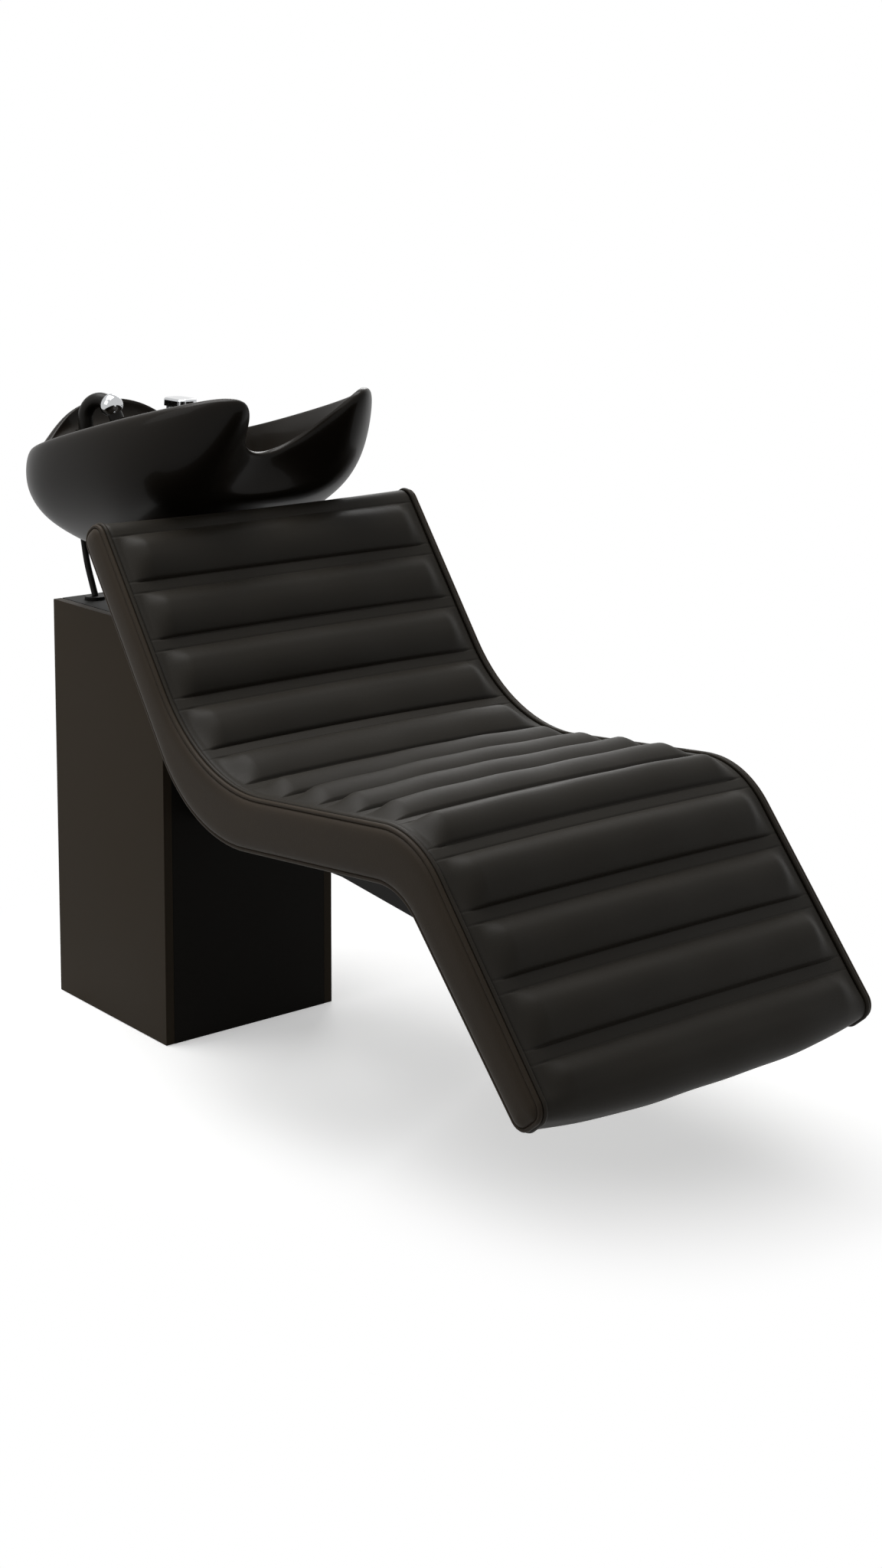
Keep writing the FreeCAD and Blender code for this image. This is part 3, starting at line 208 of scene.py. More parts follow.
class StageSettings(PropertyGroup):
    """Camera and lamps."""

    lens: number("Lens", "Camera's focal length in millimetres", 56.097, "CAMERA")
    heading: angle("Heading", "Camera's turn about the vertical", -37.957)
    pitch: angle("Pitch", "Camera's pitch", -7.9495)
    shift_x: number("Shift X", "Sideways shift of the lens", 0.03307)
    shift_y: number("Shift Y", "Upward shift of the lens", -0.20005)
    camera: FloatVectorProperty(
        name="Camera", description="Camera's place", subtype="TRANSLATION",
        default=(-2.23059, -3.40362, 1.48217),
    )
    top: number("Top", "Overhead lamp's power", 108.0, "POWER")
    side: number("Side", "Left lamp's power", 21.5, "POWER")
    rim: number("Rim", "Rear lamp's power", 36.0, "POWER")
    sky: share("Sky", "Strength of the studio's surround", 0.18)
    # Strength of the painted white glow that lightens the floor and its cast shadow near the unit
    near_white: share("Near White", "White that the floor adds near the unit", 0.40)
    bounce: share("Bounce", "Share of its light that the floor throws back", 0.4)
    # Distances from the shadow spots over which the painted white glow grows until it covers the cast shadow
    fade_start: length("Fade Start", "Where the floor begins to turn plain white", 0.15)
    fade_end: length("Fade End", "Where the floor is plain white", 0.62)


class Field:
    """A shader socket that can be added to and multiplied."""

    def __init__(self, tree, socket):
        self.tree, self.socket = tree, socket

    def node(self, kind, output=0, settings=None, **inputs):
        """Adds a node; its inputs go by number, as in i0, or by name with underscores for spaces."""
        made = self.tree.nodes.new(kind)
        for key, value in (settings or {}).items():
            setattr(made, key, value)
        for key, value in inputs.items():
            name = int(key[1:]) if key[0] == "i" and key[1:].isdigit() else key.replace("_", " ")
            plug(self.tree, made.inputs[name], value)
        return Field(self.tree, made.outputs[output])

    def sum(self, operation, a, b):
        return self.node("ShaderNodeMath", settings={"operation": operation}, i0=a, i1=b)

    def __add__(self, other):
        return self.sum("ADD", self, other)

    def __radd__(self, other):
        return self.sum("ADD", other, self)

    def __mul__(self, other):
        return self.sum("MULTIPLY", self, other)

    def noise(self, scale, detail=3.0, roughness=0.5):
        return self.node("ShaderNodeTexNoise", Vector=self, Scale=scale, Detail=detail, Roughness=roughness)


def plug(tree, socket, value):
    if isinstance(value, Field):
        tree.links.new(value.socket, socket)
    else:
        socket.default_value = value


def mixed(factor, a, b):
    return factor.node("ShaderNodeMix", output=2, settings={"data_type": "RGBA"}, i0=factor, i6=a, i7=b)


def rgba(value, scale=1.0):
    return tuple(min(c * scale, 1.0) for c in value) + (1.0,)


class Finish:
    """A material under way: its shader and the field of object coordinates."""

    def __init__(self, name):
        self.material = bpy.data.materials.new(name)
        self.material.use_nodes = True
        self.tree = self.material.node_tree
        self.shader = self.tree.nodes["Principled BSDF"]
        places = self.tree.nodes.new("ShaderNodeTexCoord")
        self.place = Field(self.tree, places.outputs["Object"])

    def give(self, **inputs):
        """Feeds the shader's inputs, named with underscores for spaces."""
        for name, value in inputs.items():
            plug(self.tree, self.shader.inputs[name.replace("_", " ")], value)

    def shade(self, factor, base, dark, pale):
        """Varies the colour between a dark and a pale multiple of the base."""
        self.give(Base_Color=mixed(factor, rgba(base, dark), rgba(base, pale)))

    def relief(self, height, strength, distance):
        """Feeds a height field to the shader's normal."""
        self.give(Normal=height.node("ShaderNodeBump", Height=height, Strength=strength, Distance=distance))


def faux_leather(name, base, roughness, gloss):
    """Grained upholstery: fine pebbles and soft mottling."""
    finish = Finish(name)
    place = finish.place
    mottle = place.noise(scale=9.0, detail=4.0)
    pebble = place.node("ShaderNodeTexVoronoi", Vector=place, Scale=620.0, Randomness=1.0)
    crease = place.noise(scale=140.0, detail=5.0, roughness=0.65)
    finish.shade(mottle, base, dark=0.82, pale=1.22)
    finish.give(Roughness=roughness + mottle * 0.08 + crease * 0.08, Specular_IOR_Level=gloss)
    finish.relief(pebble * 0.7 + crease * 0.6, strength=0.22, distance=0.0006)
    return finish.material


def laminate(name, base):
    """Matte laminate with a faint speckle."""
    finish = Finish(name)
    speckle = finish.place.noise(scale=900.0, detail=2.0)
    cloud = finish.place.noise(scale=5.0)
    finish.shade(speckle * 0.5 + cloud * 0.5, base, dark=0.85, pale=1.18)
    finish.give(Roughness=0.50 + cloud * 0.10, Specular_IOR_Level=0.05)
    finish.relief(speckle, strength=0.10, distance=0.0002)
    return finish.material


def glaze(name, base):
    """Deep black glaze with a slow ripple."""
    finish = Finish(name)
    ripple = finish.place.noise(scale=14.0, detail=2.0)
    pool = finish.place.noise(scale=4.0)
    finish.shade(pool, base, dark=0.85, pale=1.2)
    finish.give(Roughness=0.36 + pool * 0.06, Specular_IOR_Level=0.07)
    finish.give(Coat_Weight=0.06 + pool * 0.04, Coat_Roughness=0.12)
    finish.relief(ripple, strength=0.02, distance=0.002)
    return finish.material


def bright_metal(name, base, roughness, scratch):
    """Plated or bare metal with fine handling marks."""
    finish = Finish(name)
    mark = finish.place.noise(scale=scratch, detail=4.0, roughness=0.6)
    finish.shade(mark, base, dark=0.93, pale=1.05)
    finish.give(Metallic=1.0, Roughness=roughness + mark * roughness)
    finish.relief(mark, strength=0.03, distance=0.0002)
    return finish.material


def coated(name, base, roughness, grain, depth):
    """Powder coat, rubber or moulded plastic with an even grain."""
    finish = Finish(name)
    texture = finish.place.noise(scale=grain)
    cloud = finish.place.noise(scale=12.0)
    finish.shade(cloud, base, dark=0.85, pale=1.2)
    finish.give(Roughness=roughness + cloud * 0.12, Specular_IOR_Level=0.12)
    finish.relief(texture, strength=0.25, distance=depth)
    return finish.material


def plywood(name, pale, dark):
    """Birch plywood, its grain from front to rear."""
    finish = Finish(name)
    stretched = finish.place.node("ShaderNodeMapping", Vector=finish.place, Scale=(40.0, 4.0, 40.0))
    grain = stretched.noise(scale=3.0, detail=6.0, roughness=0.6)
    finish.give(Base_Color=mixed(grain, rgba(dark), rgba(pale)), Roughness=0.55 + grain * 0.2)
    finish.relief(grain, strength=0.15, distance=0.0004)
    return finish.material


def clear_selection():
    if bpy.context.object and bpy.context.object.mode != "OBJECT":
        bpy.ops.object.mode_set(mode="OBJECT")
    bpy.ops.object.select_all(action="DESELECT")


def make_active(piece):
    clear_selection()
    piece.select_set(True)
    bpy.context.view_layer.objects.active = piece


def face_outward(piece):
    make_active(piece)
    bpy.ops.object.mode_set(mode="EDIT")
    bpy.ops.mesh.select_all(action="SELECT")
    bpy.ops.mesh.normals_make_consistent(inside=False)
    bpy.ops.object.mode_set(mode="OBJECT")


def add_mesh(name, points, faces):
    mesh = bpy.data.meshes.new(name)
    mesh.from_pydata([tuple(p) for p in points], [], faces)
    mesh.validate()
    piece = bpy.data.objects.new(name, mesh)
    bpy.context.scene.collection.objects.link(piece)
    face_outward(piece)
    return piece


def lattice(lines, points, rounds=True, looped=False):
    """Faces between neighbouring lines of points; looped also joins the last line to the first."""
    faces = []
    for j in range(lines if looped else lines - 1):
        a, b = j * points, (j + 1) % lines * points
        for i in range(points if rounds else points - 1):
            k = (i + 1) % points
            faces.append((a + i, a + k, b + k, b + i))
    return faces


def end_caps(lines, points):
    return [tuple(range(points)), tuple(range((lines - 1) * points, lines * points))]


def apply_modifier(piece, kind, **settings):
    make_active(piece)
    modifier = piece.modifiers.new(kind.title(), kind)
    for key, value in settings.items():
        setattr(modifier, key, value)
    bpy.ops.object.modifier_apply(modifier=modifier.name)


def smooth(piece, degrees):
    make_active(piece)
    bpy.ops.object.shade_smooth_by_angle(angle=math.radians(degrees))


def dress(piece, body, slot, *nodes):
    """Gives a piece its finish, the body it moves with and the frame nodes it stands for."""
    piece.data.materials.clear()
    piece.data.materials.append(finishes[slot])
    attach(piece, body)
    if nodes:
        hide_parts(*nodes)
    return piece


def body_of(node):
    for body, nodes in frame["record"]["behaviour"]["bodies"].items():
        if node in nodes:
            return body
    raise KeyError(node)


def slot_of(node):
    return next(s["material_slot"] for s in frame["record"]["subparts"] if s["node"] == node)


def eased_copy(node, width):
    """A copy of a frame node with its sharp edges eased."""
    merge_distance = 0.00001
    source = frame["nodes"][node]
    make_active(source)
    bpy.ops.object.duplicate()
    piece = bpy.context.object
    piece.name = "eased_" + node
    piece.parent = None
    bpy.ops.object.mode_set(mode="EDIT")
    bpy.ops.mesh.select_all(action="SELECT")
    bpy.ops.mesh.customdata_custom_splitnormals_clear()
    bpy.ops.mesh.remove_doubles(threshold=merge_distance)
    bpy.ops.mesh.dissolve_limited(angle_limit=math.radians(0.5))
    bpy.ops.object.mode_set(mode="OBJECT")
    sharp = math.radians(35)
    apply_modifier(piece, "BEVEL", width=width, segments=2, limit_method="ANGLE", angle_limit=sharp)
    apply_modifier(piece, "TRIANGULATE", min_vertices=5)
    smooth(piece, degrees=30)
    apply_modifier(piece, "WEIGHTED_NORMAL", keep_sharp=True, weight=90)
    return dress(piece, body_of(node), slot_of(node), node)


# Outlines in the side view are arrays of (y, z) corners
def unit(a, b):
    step = np.asarray(b) - np.asarray(a)
    return step / np.hypot(*step)


def direction(turn):
    return np.array([math.cos(turn), math.sin(turn)])


def left_of(step):
    return np.array([-step[1], step[0]])


def cross(a, b):
    return a[0] * b[1] - a[1] * b[0]


def meet(p, a, q, b):
    """Where the line through p along a meets the line through q along b."""
    return np.asarray(p) + a * (cross(np.asarray(q) - p, b) / cross(a, b))


def outward(line, looped=False):
    """Unit normals along a line, pointing to the right of its run."""
    run = np.roll(line, -1, 0) - np.roll(line, 1, 0) if looped else np.gradient(line, axis=0)
    run /= np.hypot(*run.T)[:, None]
    return np.stack([run[:, 1], -run[:, 0]], 1)


def lounger_outline(size):
    """Corners from the top of the back to the foot, and back along the underside, with their rounds."""
    toward_top = direction(size.back_angle)
    toward_knee = direction(math.pi - size.seat_rise)
    toward_foot = direction(math.pi + size.leg_angle)
    hip = np.array([size.hip_y, size.hip_z])
    top, knee = hip + toward_top * size.back, hip + toward_knee * size.seat
    foot = knee + toward_foot * size.leg
    back_down, seat_down, leg_down = -left_of(toward_top), left_of(toward_knee), left_of(toward_foot)
    under_top = top + back_down * size.back_top
    under_foot = foot + leg_down * size.leg_foot
    seat_low = hip + seat_down * size.seat_depth
    back_low = hip + back_down * size.back_hip
    leg_low = knee + leg_down * size.leg_knee
    under_hip = meet(seat_low, toward_knee, back_low, unit(back_low, under_top))
    under_knee = meet(seat_low, toward_knee, leg_low, unit(leg_low, under_foot))
    corners = [top, hip, knee, foot, under_foot, under_knee, under_hip, under_top]
    rounds = [
        size.top_round, size.hip_round, size.knee_round, size.foot_round,
        size.foot_round, size.under_knee, size.under_hip, size.top_round,
    ]
    return corners, rounds


def inset(corners, distances):
    """Corners of an outline with each side moved inwards by its own distance."""
    sides = []
    for i, corner in enumerate(corners):
        along = unit(corner, corners[(i + 1) % len(corners)])
        sides.append((corner + left_of(along) * distances[i], along))
    return [meet(*sides[i - 1], *sides[i]) for i in range(len(corners))]


def rounded_points(corners, rounds, spacing, closed=False, arc_steps=None, line_steps=None):
    """Points along straight runs and tangent arcs; fixed steps make outlines match point by point."""
    total = len(corners)
    ends = []
    for i, corner in enumerate(corners):
        if rounds[i] <= 0 or not (closed or 0 < i < total - 1):
            ends.append((corner, None, corner))
            continue
        back, on = unit(corner, corners[i - 1]), unit(corner, corners[(i + 1) % total])
        half = (math.pi - math.acos(np.clip(np.dot(back, on), -1, 1))) / 2
        reach = rounds[i] * math.tan(half)
        centre = corner + (back + on) / np.hypot(*(back + on)) * rounds[i] / math.cos(half)
        ends.append((corner + back * reach, (centre, rounds[i], 2 * half), corner + on * reach))
    points = []
    for i, (start, arc, stop) in enumerate(ends):
        if arc:
            centre, radius, sweep = arc
            a = math.atan2(*(start - centre)[::-1])
            turn = math.copysign(sweep, cross(start - centre, stop - centre))
            steps = arc_steps or max(int(radius * sweep / spacing), 6)
            for k in range(steps):
                t = a + turn * k / steps
                points.append(centre + radius * direction(t))
        if closed or i < total - 1:
            following = ends[(i + 1) % total][0]
            steps = line_steps[i] if line_steps else max(int(np.hypot(*(following - stop)) / spacing), 1)
            points += [stop + (following - stop) * k / steps for k in range(steps)]
    if not closed:
        points.append(corners[-1])
    return np.array(points)


def pad_edge(size):
    """Half the width between the two pipings."""
    return size.half_width - size.side_pad - size.piping - size.gap


def channel_spans(size, end):
    """Start and end of each sewn channel, measured along the upper side from the top corner."""
    starts, place = [], size.margin
    for total, pitch in (
        (size.back_channels, size.back_pitch),
        (size.seat_channels, size.seat_pitch),
        (size.leg_channels, size.leg_pitch),
    ):
        starts += [place + i * pitch for i in range(total)]
        place += total * pitch
    stops = [s - size.strip for s in starts[1:]] + [end]
    return list(zip(starts, stops))


def quarter(distance, reach):
    """Rises like a quarter of an ellipse from nothing to one over the reach."""
    left = 1 - np.clip(distance / reach, 0, 1)
    return np.sqrt(1 - left**2)


def slope(distance, reach):
    """Rises from nothing to one over the reach, steep at first and level at the end."""
    return 1 - (1 - np.clip(distance / reach, 0, 1)) ** 2


def ease(distance, reach):
    """Rises from nothing to one over the reach, level at both ends."""
    t = np.clip(distance / reach, 0, 1)
    return t * t * (3 - 2 * t)


def thinned(along, seams, near, step):
    """Indices that keep every point close to a seam and only spaced points elsewhere."""
    kept, last = [], -1.0
    for i, s in enumerate(along):
        close = np.min(np.abs(seams - s)) < near
        if close or s - last > step or i == len(along) - 1:
            kept.append(i)
            last = s
    return np.array(kept)


class BACKWASH_OT_pad(Operator):
    """Sews the channelled pad of the lounger"""

    bl_idname = "backwash.pad"
    bl_label = "Quilted Pad"

    outline_step = 0.0009
    back_step = 0.03
    # How much shorter half a square corner's arc is than its leg, as a share of the radius
    corner_share = 0.215
    seam_reach = 0.0045
    row_step = 0.0048
    fine_border = 0.07
    border_columns = 24
    middle_columns = 72
    # Share of a channel's height, length and shift from channel to channel of its slow waves
    sags = ((0.05, 0.058, 1.3), (0.03, 0.021, 2.9))
    # Shares of a round and of a flatter slope in a channel's lower edge
    roll_shares = (0.55, 0.45)
    crown_share = 0.14
    foot_rise_share = 0.75
    foot_roll = 0.020
    # Where the last channel starts to widen past its seam, and over what length
    foot_turn = (0.02, 0.05)
    # How far a seam runs in from the border, and the lengths of its two ends
    border_seam = (0.030, 0.020, 0.006)
    border_seam_share = 0.4
    upper_seam_share = 0.45
    # Length, and shift from channel to channel, of the puckers' short, swaying and long waves
    pucker_waves = ((0.0042, 2.1), (0.019, 1.0), (0.043, 0.9))
    pucker_sway = 1.7
    pucker_place = 0.008
    pucker_fade = 0.006
    bow_start = 0.05
    bow_rise = 0.30
    bow_fall = 0.08
    dip_place = 0.02
    dip_width = 0.035

    def execute(self, context):
        size = context.scene.backwash_lounger
        corners, rounds = lounger_outline(size)
        inner = inset(corners, [size.pad, size.pad, size.pad, size.wrap, 0, 0, 0, size.wrap])
        # Round the top, along the upper side and round the foot, then back inside
        chain = [inner[7], corners[7], *corners[:5], inner[4]]
        chain_rounds = [0, rounds[7], *rounds[:5], 0]
        path = rounded_points(chain, chain_rounds, self.outline_step)
        back = [inner[4], inner[3], inner[2], inner[1], inner[0], inner[7]]
        back_rounds = [0, 0, size.knee_round - size.pad, size.hip_round + size.pad, 0, 0]
        under = rounded_points(back, back_rounds, self.back_step)[1:-1]
        steps = np.hypot(*np.diff(path, axis=0).T)
        along = np.concatenate([[0], np.cumsum(steps)])
        top_turn = np.argmin(np.hypot(*(path - corners[0]).T))
        along -= along[top_turn] - size.top_round * self.corner_share
        normal = outward(path)
        spans = channel_spans(size, along[-1])
        kept = thinned(along, np.array(spans).ravel(), self.seam_reach, self.row_step)
        path, along, normal = path[kept], along[kept], normal[kept]
        edge = pad_edge(size)
        middle = edge - self.fine_border
        columns = np.unique(np.round(np.concatenate([
            np.linspace(-edge, -middle, self.border_columns),
            np.linspace(-middle, middle, self.middle_columns),
            np.linspace(middle, edge, self.border_columns),
        ]), 6))
        s, x = np.meshgrid(along, columns, indexing="ij")
        lift = self.quilting(size, spans, s, x, edge)
        points, rows = [], len(path) + len(under)
        for j, cx in enumerate(columns):
            outer = path + normal * lift[:, j : j + 1]
            for p in np.concatenate([outer, under]):
                points.append((cx, p[0], p[1]))
        faces = lattice(len(columns), rows) + end_caps(len(columns), rows)
        piece = add_mesh("quilted_pad", points, faces)
        smooth(piece, degrees=50)
        dress(piece, "base", "upholstery", "channel_pad")
        return {"FINISHED"}

    def quilting(self, size, spans, s, x, edge):
        """Height of the pad's surface over its plain outline."""
        half = edge - size.end_inset
        inward = half - np.abs(x)
        beside = edge - np.abs(x)
        ends = (slope(inward, size.end_rise) + ease(inward, size.end_rise)) / 2
        reach, start, end = self.border_seam
        border = ease(reach - inward, start) * ease(beside, end)
        turn_start, turn_reach = self.foot_turn
        turned = ease(s - spans[-1][0] - turn_start, turn_reach)
        lift = np.full_like(s, -size.sink)
        for i, (start, stop) in enumerate(spans):
            last = i == len(spans) - 1
            full, dome = ends, self.dome(size, s, start, stop)
            if last:
                full = ends + (1 - np.abs(x / edge) ** 3 - ends) * turned
                dome = self.foot_rise_share * slope(s - start, size.puff_rise) * (s > start)
                dome *= slope(stop - s, self.foot_roll)
            sag = 1 + sum(rise * np.sin(x / wave + shift * i) for rise, wave, shift in self.sags)
            lift += size.puff * dome * sag * full + self.puckers(size, s - start, x, i) * ends
            seams = [(start, self.upper_seam_share)]
            if not last:
                seams.append((stop, 1.0))
            for stitch, depth in seams:
                groove = np.exp(-(((s - stitch) / size.seam_width) ** 2))
                sewn = depth * np.clip(ends * 3, 0, 1) + self.border_seam_share * border
                lift -= groove * size.seam * sewn
        lift -= size.edge_drop * (1 - quarter(beside, size.edge_round)) * (1 - turned)
        middle = 1 - (x / edge) ** 2
        bowed = ease(s - self.bow_start, self.bow_rise) * ease(spans[-1][1] - s, self.bow_fall)
        lift += size.bow * middle * bowed
        return lift - size.head_dip * middle * np.exp(-(((s + self.dip_place) / self.dip_width) ** 2))

    def dome(self, size, s, start, stop):
        """Height of one channel across its run, as a share of the full height."""
        full, flat = self.roll_shares
        roll = full * quarter(stop - s, size.puff_roll) + flat * slope(stop - s, size.puff_roll)
        swell = np.sin(math.pi * np.clip((s - start) / (stop - start), 0, 1))
        crown = 1 - self.crown_share + self.crown_share * swell
        return slope(s - start, size.puff_rise) * roll * crown * (s > start) * (s < stop)

    def puckers(self, size, below, x, i):
        """Small gathers along the upper seam of a channel."""
        short, sway, long = (x / wave + shift * i for wave, shift in self.pucker_waves)
        wave = np.sin(short + self.pucker_sway * np.sin(sway)) * np.sin(long)
        return size.pucker * wave * np.exp(-np.abs(below - self.pucker_place) / self.pucker_fade)


class BACKWASH_OT_sides(Operator):
    """Shapes the smooth side cushions and their piping"""

    bl_idname = "backwash.sides"
    bl_label = "Side Cushions and Piping"

    cushion_step = 0.012
    cord_step = 0.008
    corner_steps = 16
    # Corners of the outline that bend inwards, at the hip and under the knee
    hollow_corners = (1, 5)
    least_round = 0.0008
    seam_depth = 0.0078
    seam_gap = 0.0002
    # Depth inside the outline and rise over the seam, from the edge's bead over its groove to the face
    edge_profile = (
        (0.0016, 0.0), (0.0004, 0.0022), (0.0008, 0.0044), (0.0022, 0.0060), (0.0042, 0.0064),
        (0.0056, 0.0057), (0.0064, 0.0043), (0.0073, 0.0061), (0.0094, 0.0081), (0.0135, 0.0096),
        (0.0200, 0.0106), (0.0280, 0.0110),
    )
    cord_sides = 12
    cord_sink_share = 0.45
    cord_width_share = 0.97
    cord_swell_share = 0.012
    cord_swell_turn = 0.9

    def execute(self, context):
        size = context.scene.backwash_lounger
        for side, name in ((-1, "left"), (1, "right")):
            self.cushion(size, side, name)
            self.piping(size, side, name)
        return {"FINISHED"}

    def ring(self, size, depth, spacing):
        """The lounger's outline moved inwards, with the same count of points at every depth."""
        corners, rounds = lounger_outline(size)
        lines = []
        for i, corner in enumerate(corners):
            run = np.hypot(*(corners[(i + 1) % len(corners)] - corner))
            lines.append(max(int(run / spacing), 3))
        deeper = inset(corners, [depth] * len(corners))
        bends = []
        for i, radius in enumerate(rounds):
            change = depth if i in self.hollow_corners else -depth
            bends.append(max(radius + change, self.least_round))
        return rounded_points(
            deeper, bends, spacing, closed=True, arc_steps=self.corner_steps, line_steps=lines
        )

    def cushion(self, size, side, name):
        inner = size.half_width - size.side_pad
        profile = [(self.seam_depth, inner - size.piping), (self.seam_depth, inner - self.seam_gap)]
        profile += [(depth, inner + rise) for depth, rise in self.edge_profile]
        rings = [[(side * x, *p) for p in self.ring(size, depth, self.cushion_step)] for depth, x in profile]
        points = [p for ring in rings for p in ring]
        faces = end_caps(len(rings), len(rings[0])) + lattice(len(rings), len(rings[0]))
        piece = add_mesh(name + "_side_cushion", points, faces)
        apply_modifier(piece, "TRIANGULATE", ngon_method="BEAUTY")
        smooth(piece, degrees=60)
        dress(piece, "base", "side_leather", name + "_side_pad")

    def piping(self, size, side, name):
        x = size.half_width - size.side_pad - size.piping / 2
        radius = size.piping / 2
        line = self.ring(size, radius * self.cord_sink_share, self.cord_step)
        points = []
        for i, (p, out) in enumerate(zip(line, outward(line, looped=True))):
            swell = radius * (1 + self.cord_swell_share * math.sin(i * self.cord_swell_turn))
            for k in range(self.cord_sides):
                turn = math.tau * k / self.cord_sides
                across = x + radius * self.cord_width_share * math.sin(turn)
                points.append((side * across, *(p + out * swell * math.cos(turn))))
        faces = lattice(len(line), self.cord_sides, looped=True)
        piece = add_mesh(name + "_piping_cord", points, faces)
        smooth(piece, degrees=60)
        dress(piece, "base", "piping", name + "_piping")


class BACKWASH_OT_lining(Operator):
    """Stretches the lining over the lounger's underside"""

    bl_idname = "backwash.lining"
    bl_label = "Underside Lining"

    step = 0.012
    columns = 41
    depth = 0.0011
    wrinkle = 0.0009
    wrinkle_turns = 60
    wrinkle_slant = 5
    tuck = 0.0012
    tuck_width = 0.006
    thickness = 0.001

    def execute(self, context):
        size = context.scene.backwash_lounger
        corners, rounds = lounger_outline(size)
        ends = [0, 0, 0, size.wrap + size.gap, 0, 0, 0, size.wrap + size.gap]
        outer = inset(corners, ends)[4:]
        low = rounded_points(outer, [0, *rounds[5:7], 0], self.step)
        inward = -outward(low)
        edge = pad_edge(size)
        along = np.linspace(0, 1, len(low))
        points = []
        for cx in np.linspace(-edge, edge, self.columns):
            slack = self.wrinkle * math.cos(cx / edge * math.pi / 2)
            pull = slack * np.sin(along * self.wrinkle_turns + self.wrinkle_slant * cx)
            tucked = self.tuck * (1 - min((edge - abs(cx)) / self.tuck_width, 1))
            for p, n, d in zip(low, inward, pull):
                points.append((cx, *(p + n * (self.depth + d + tucked))))
        faces = lattice(self.columns, len(low), rounds=False)
        piece = add_mesh("underside_lining", points, faces)
        apply_modifier(piece, "SOLIDIFY", thickness=self.thickness, offset=0)
        smooth(piece, degrees=50)
        dress(piece, "base", "side_leather", "under_cover")
        return {"FINISHED"}


class BACKWASH_OT_plinth(Operator):
    """Eases the edges of the plinth's boards, door and steelwork"""

    bl_idname = "backwash.plinth"
    bl_label = "Plinth"

    boards = ("left_panel", "right_panel", "front_panel", "rear_door", "top_cover")
    board_edge = 0.0009
    steelwork = ("seat_beam", "tilt_pedestal", "bowl_carrier", "base_plate", "valve_rail", "column")
    steel_edge = 0.0006

    def execute(self, context):
        for node in self.boards:
            eased_copy(node, self.board_edge)
        for node in self.steelwork:
            eased_copy(node, self.steel_edge)
        return {"FINISHED"}


def fading(distance, reach, power):
    """Falls from one to nothing, by about two thirds over the reach."""
    return math.exp(-((distance / reach) ** power))


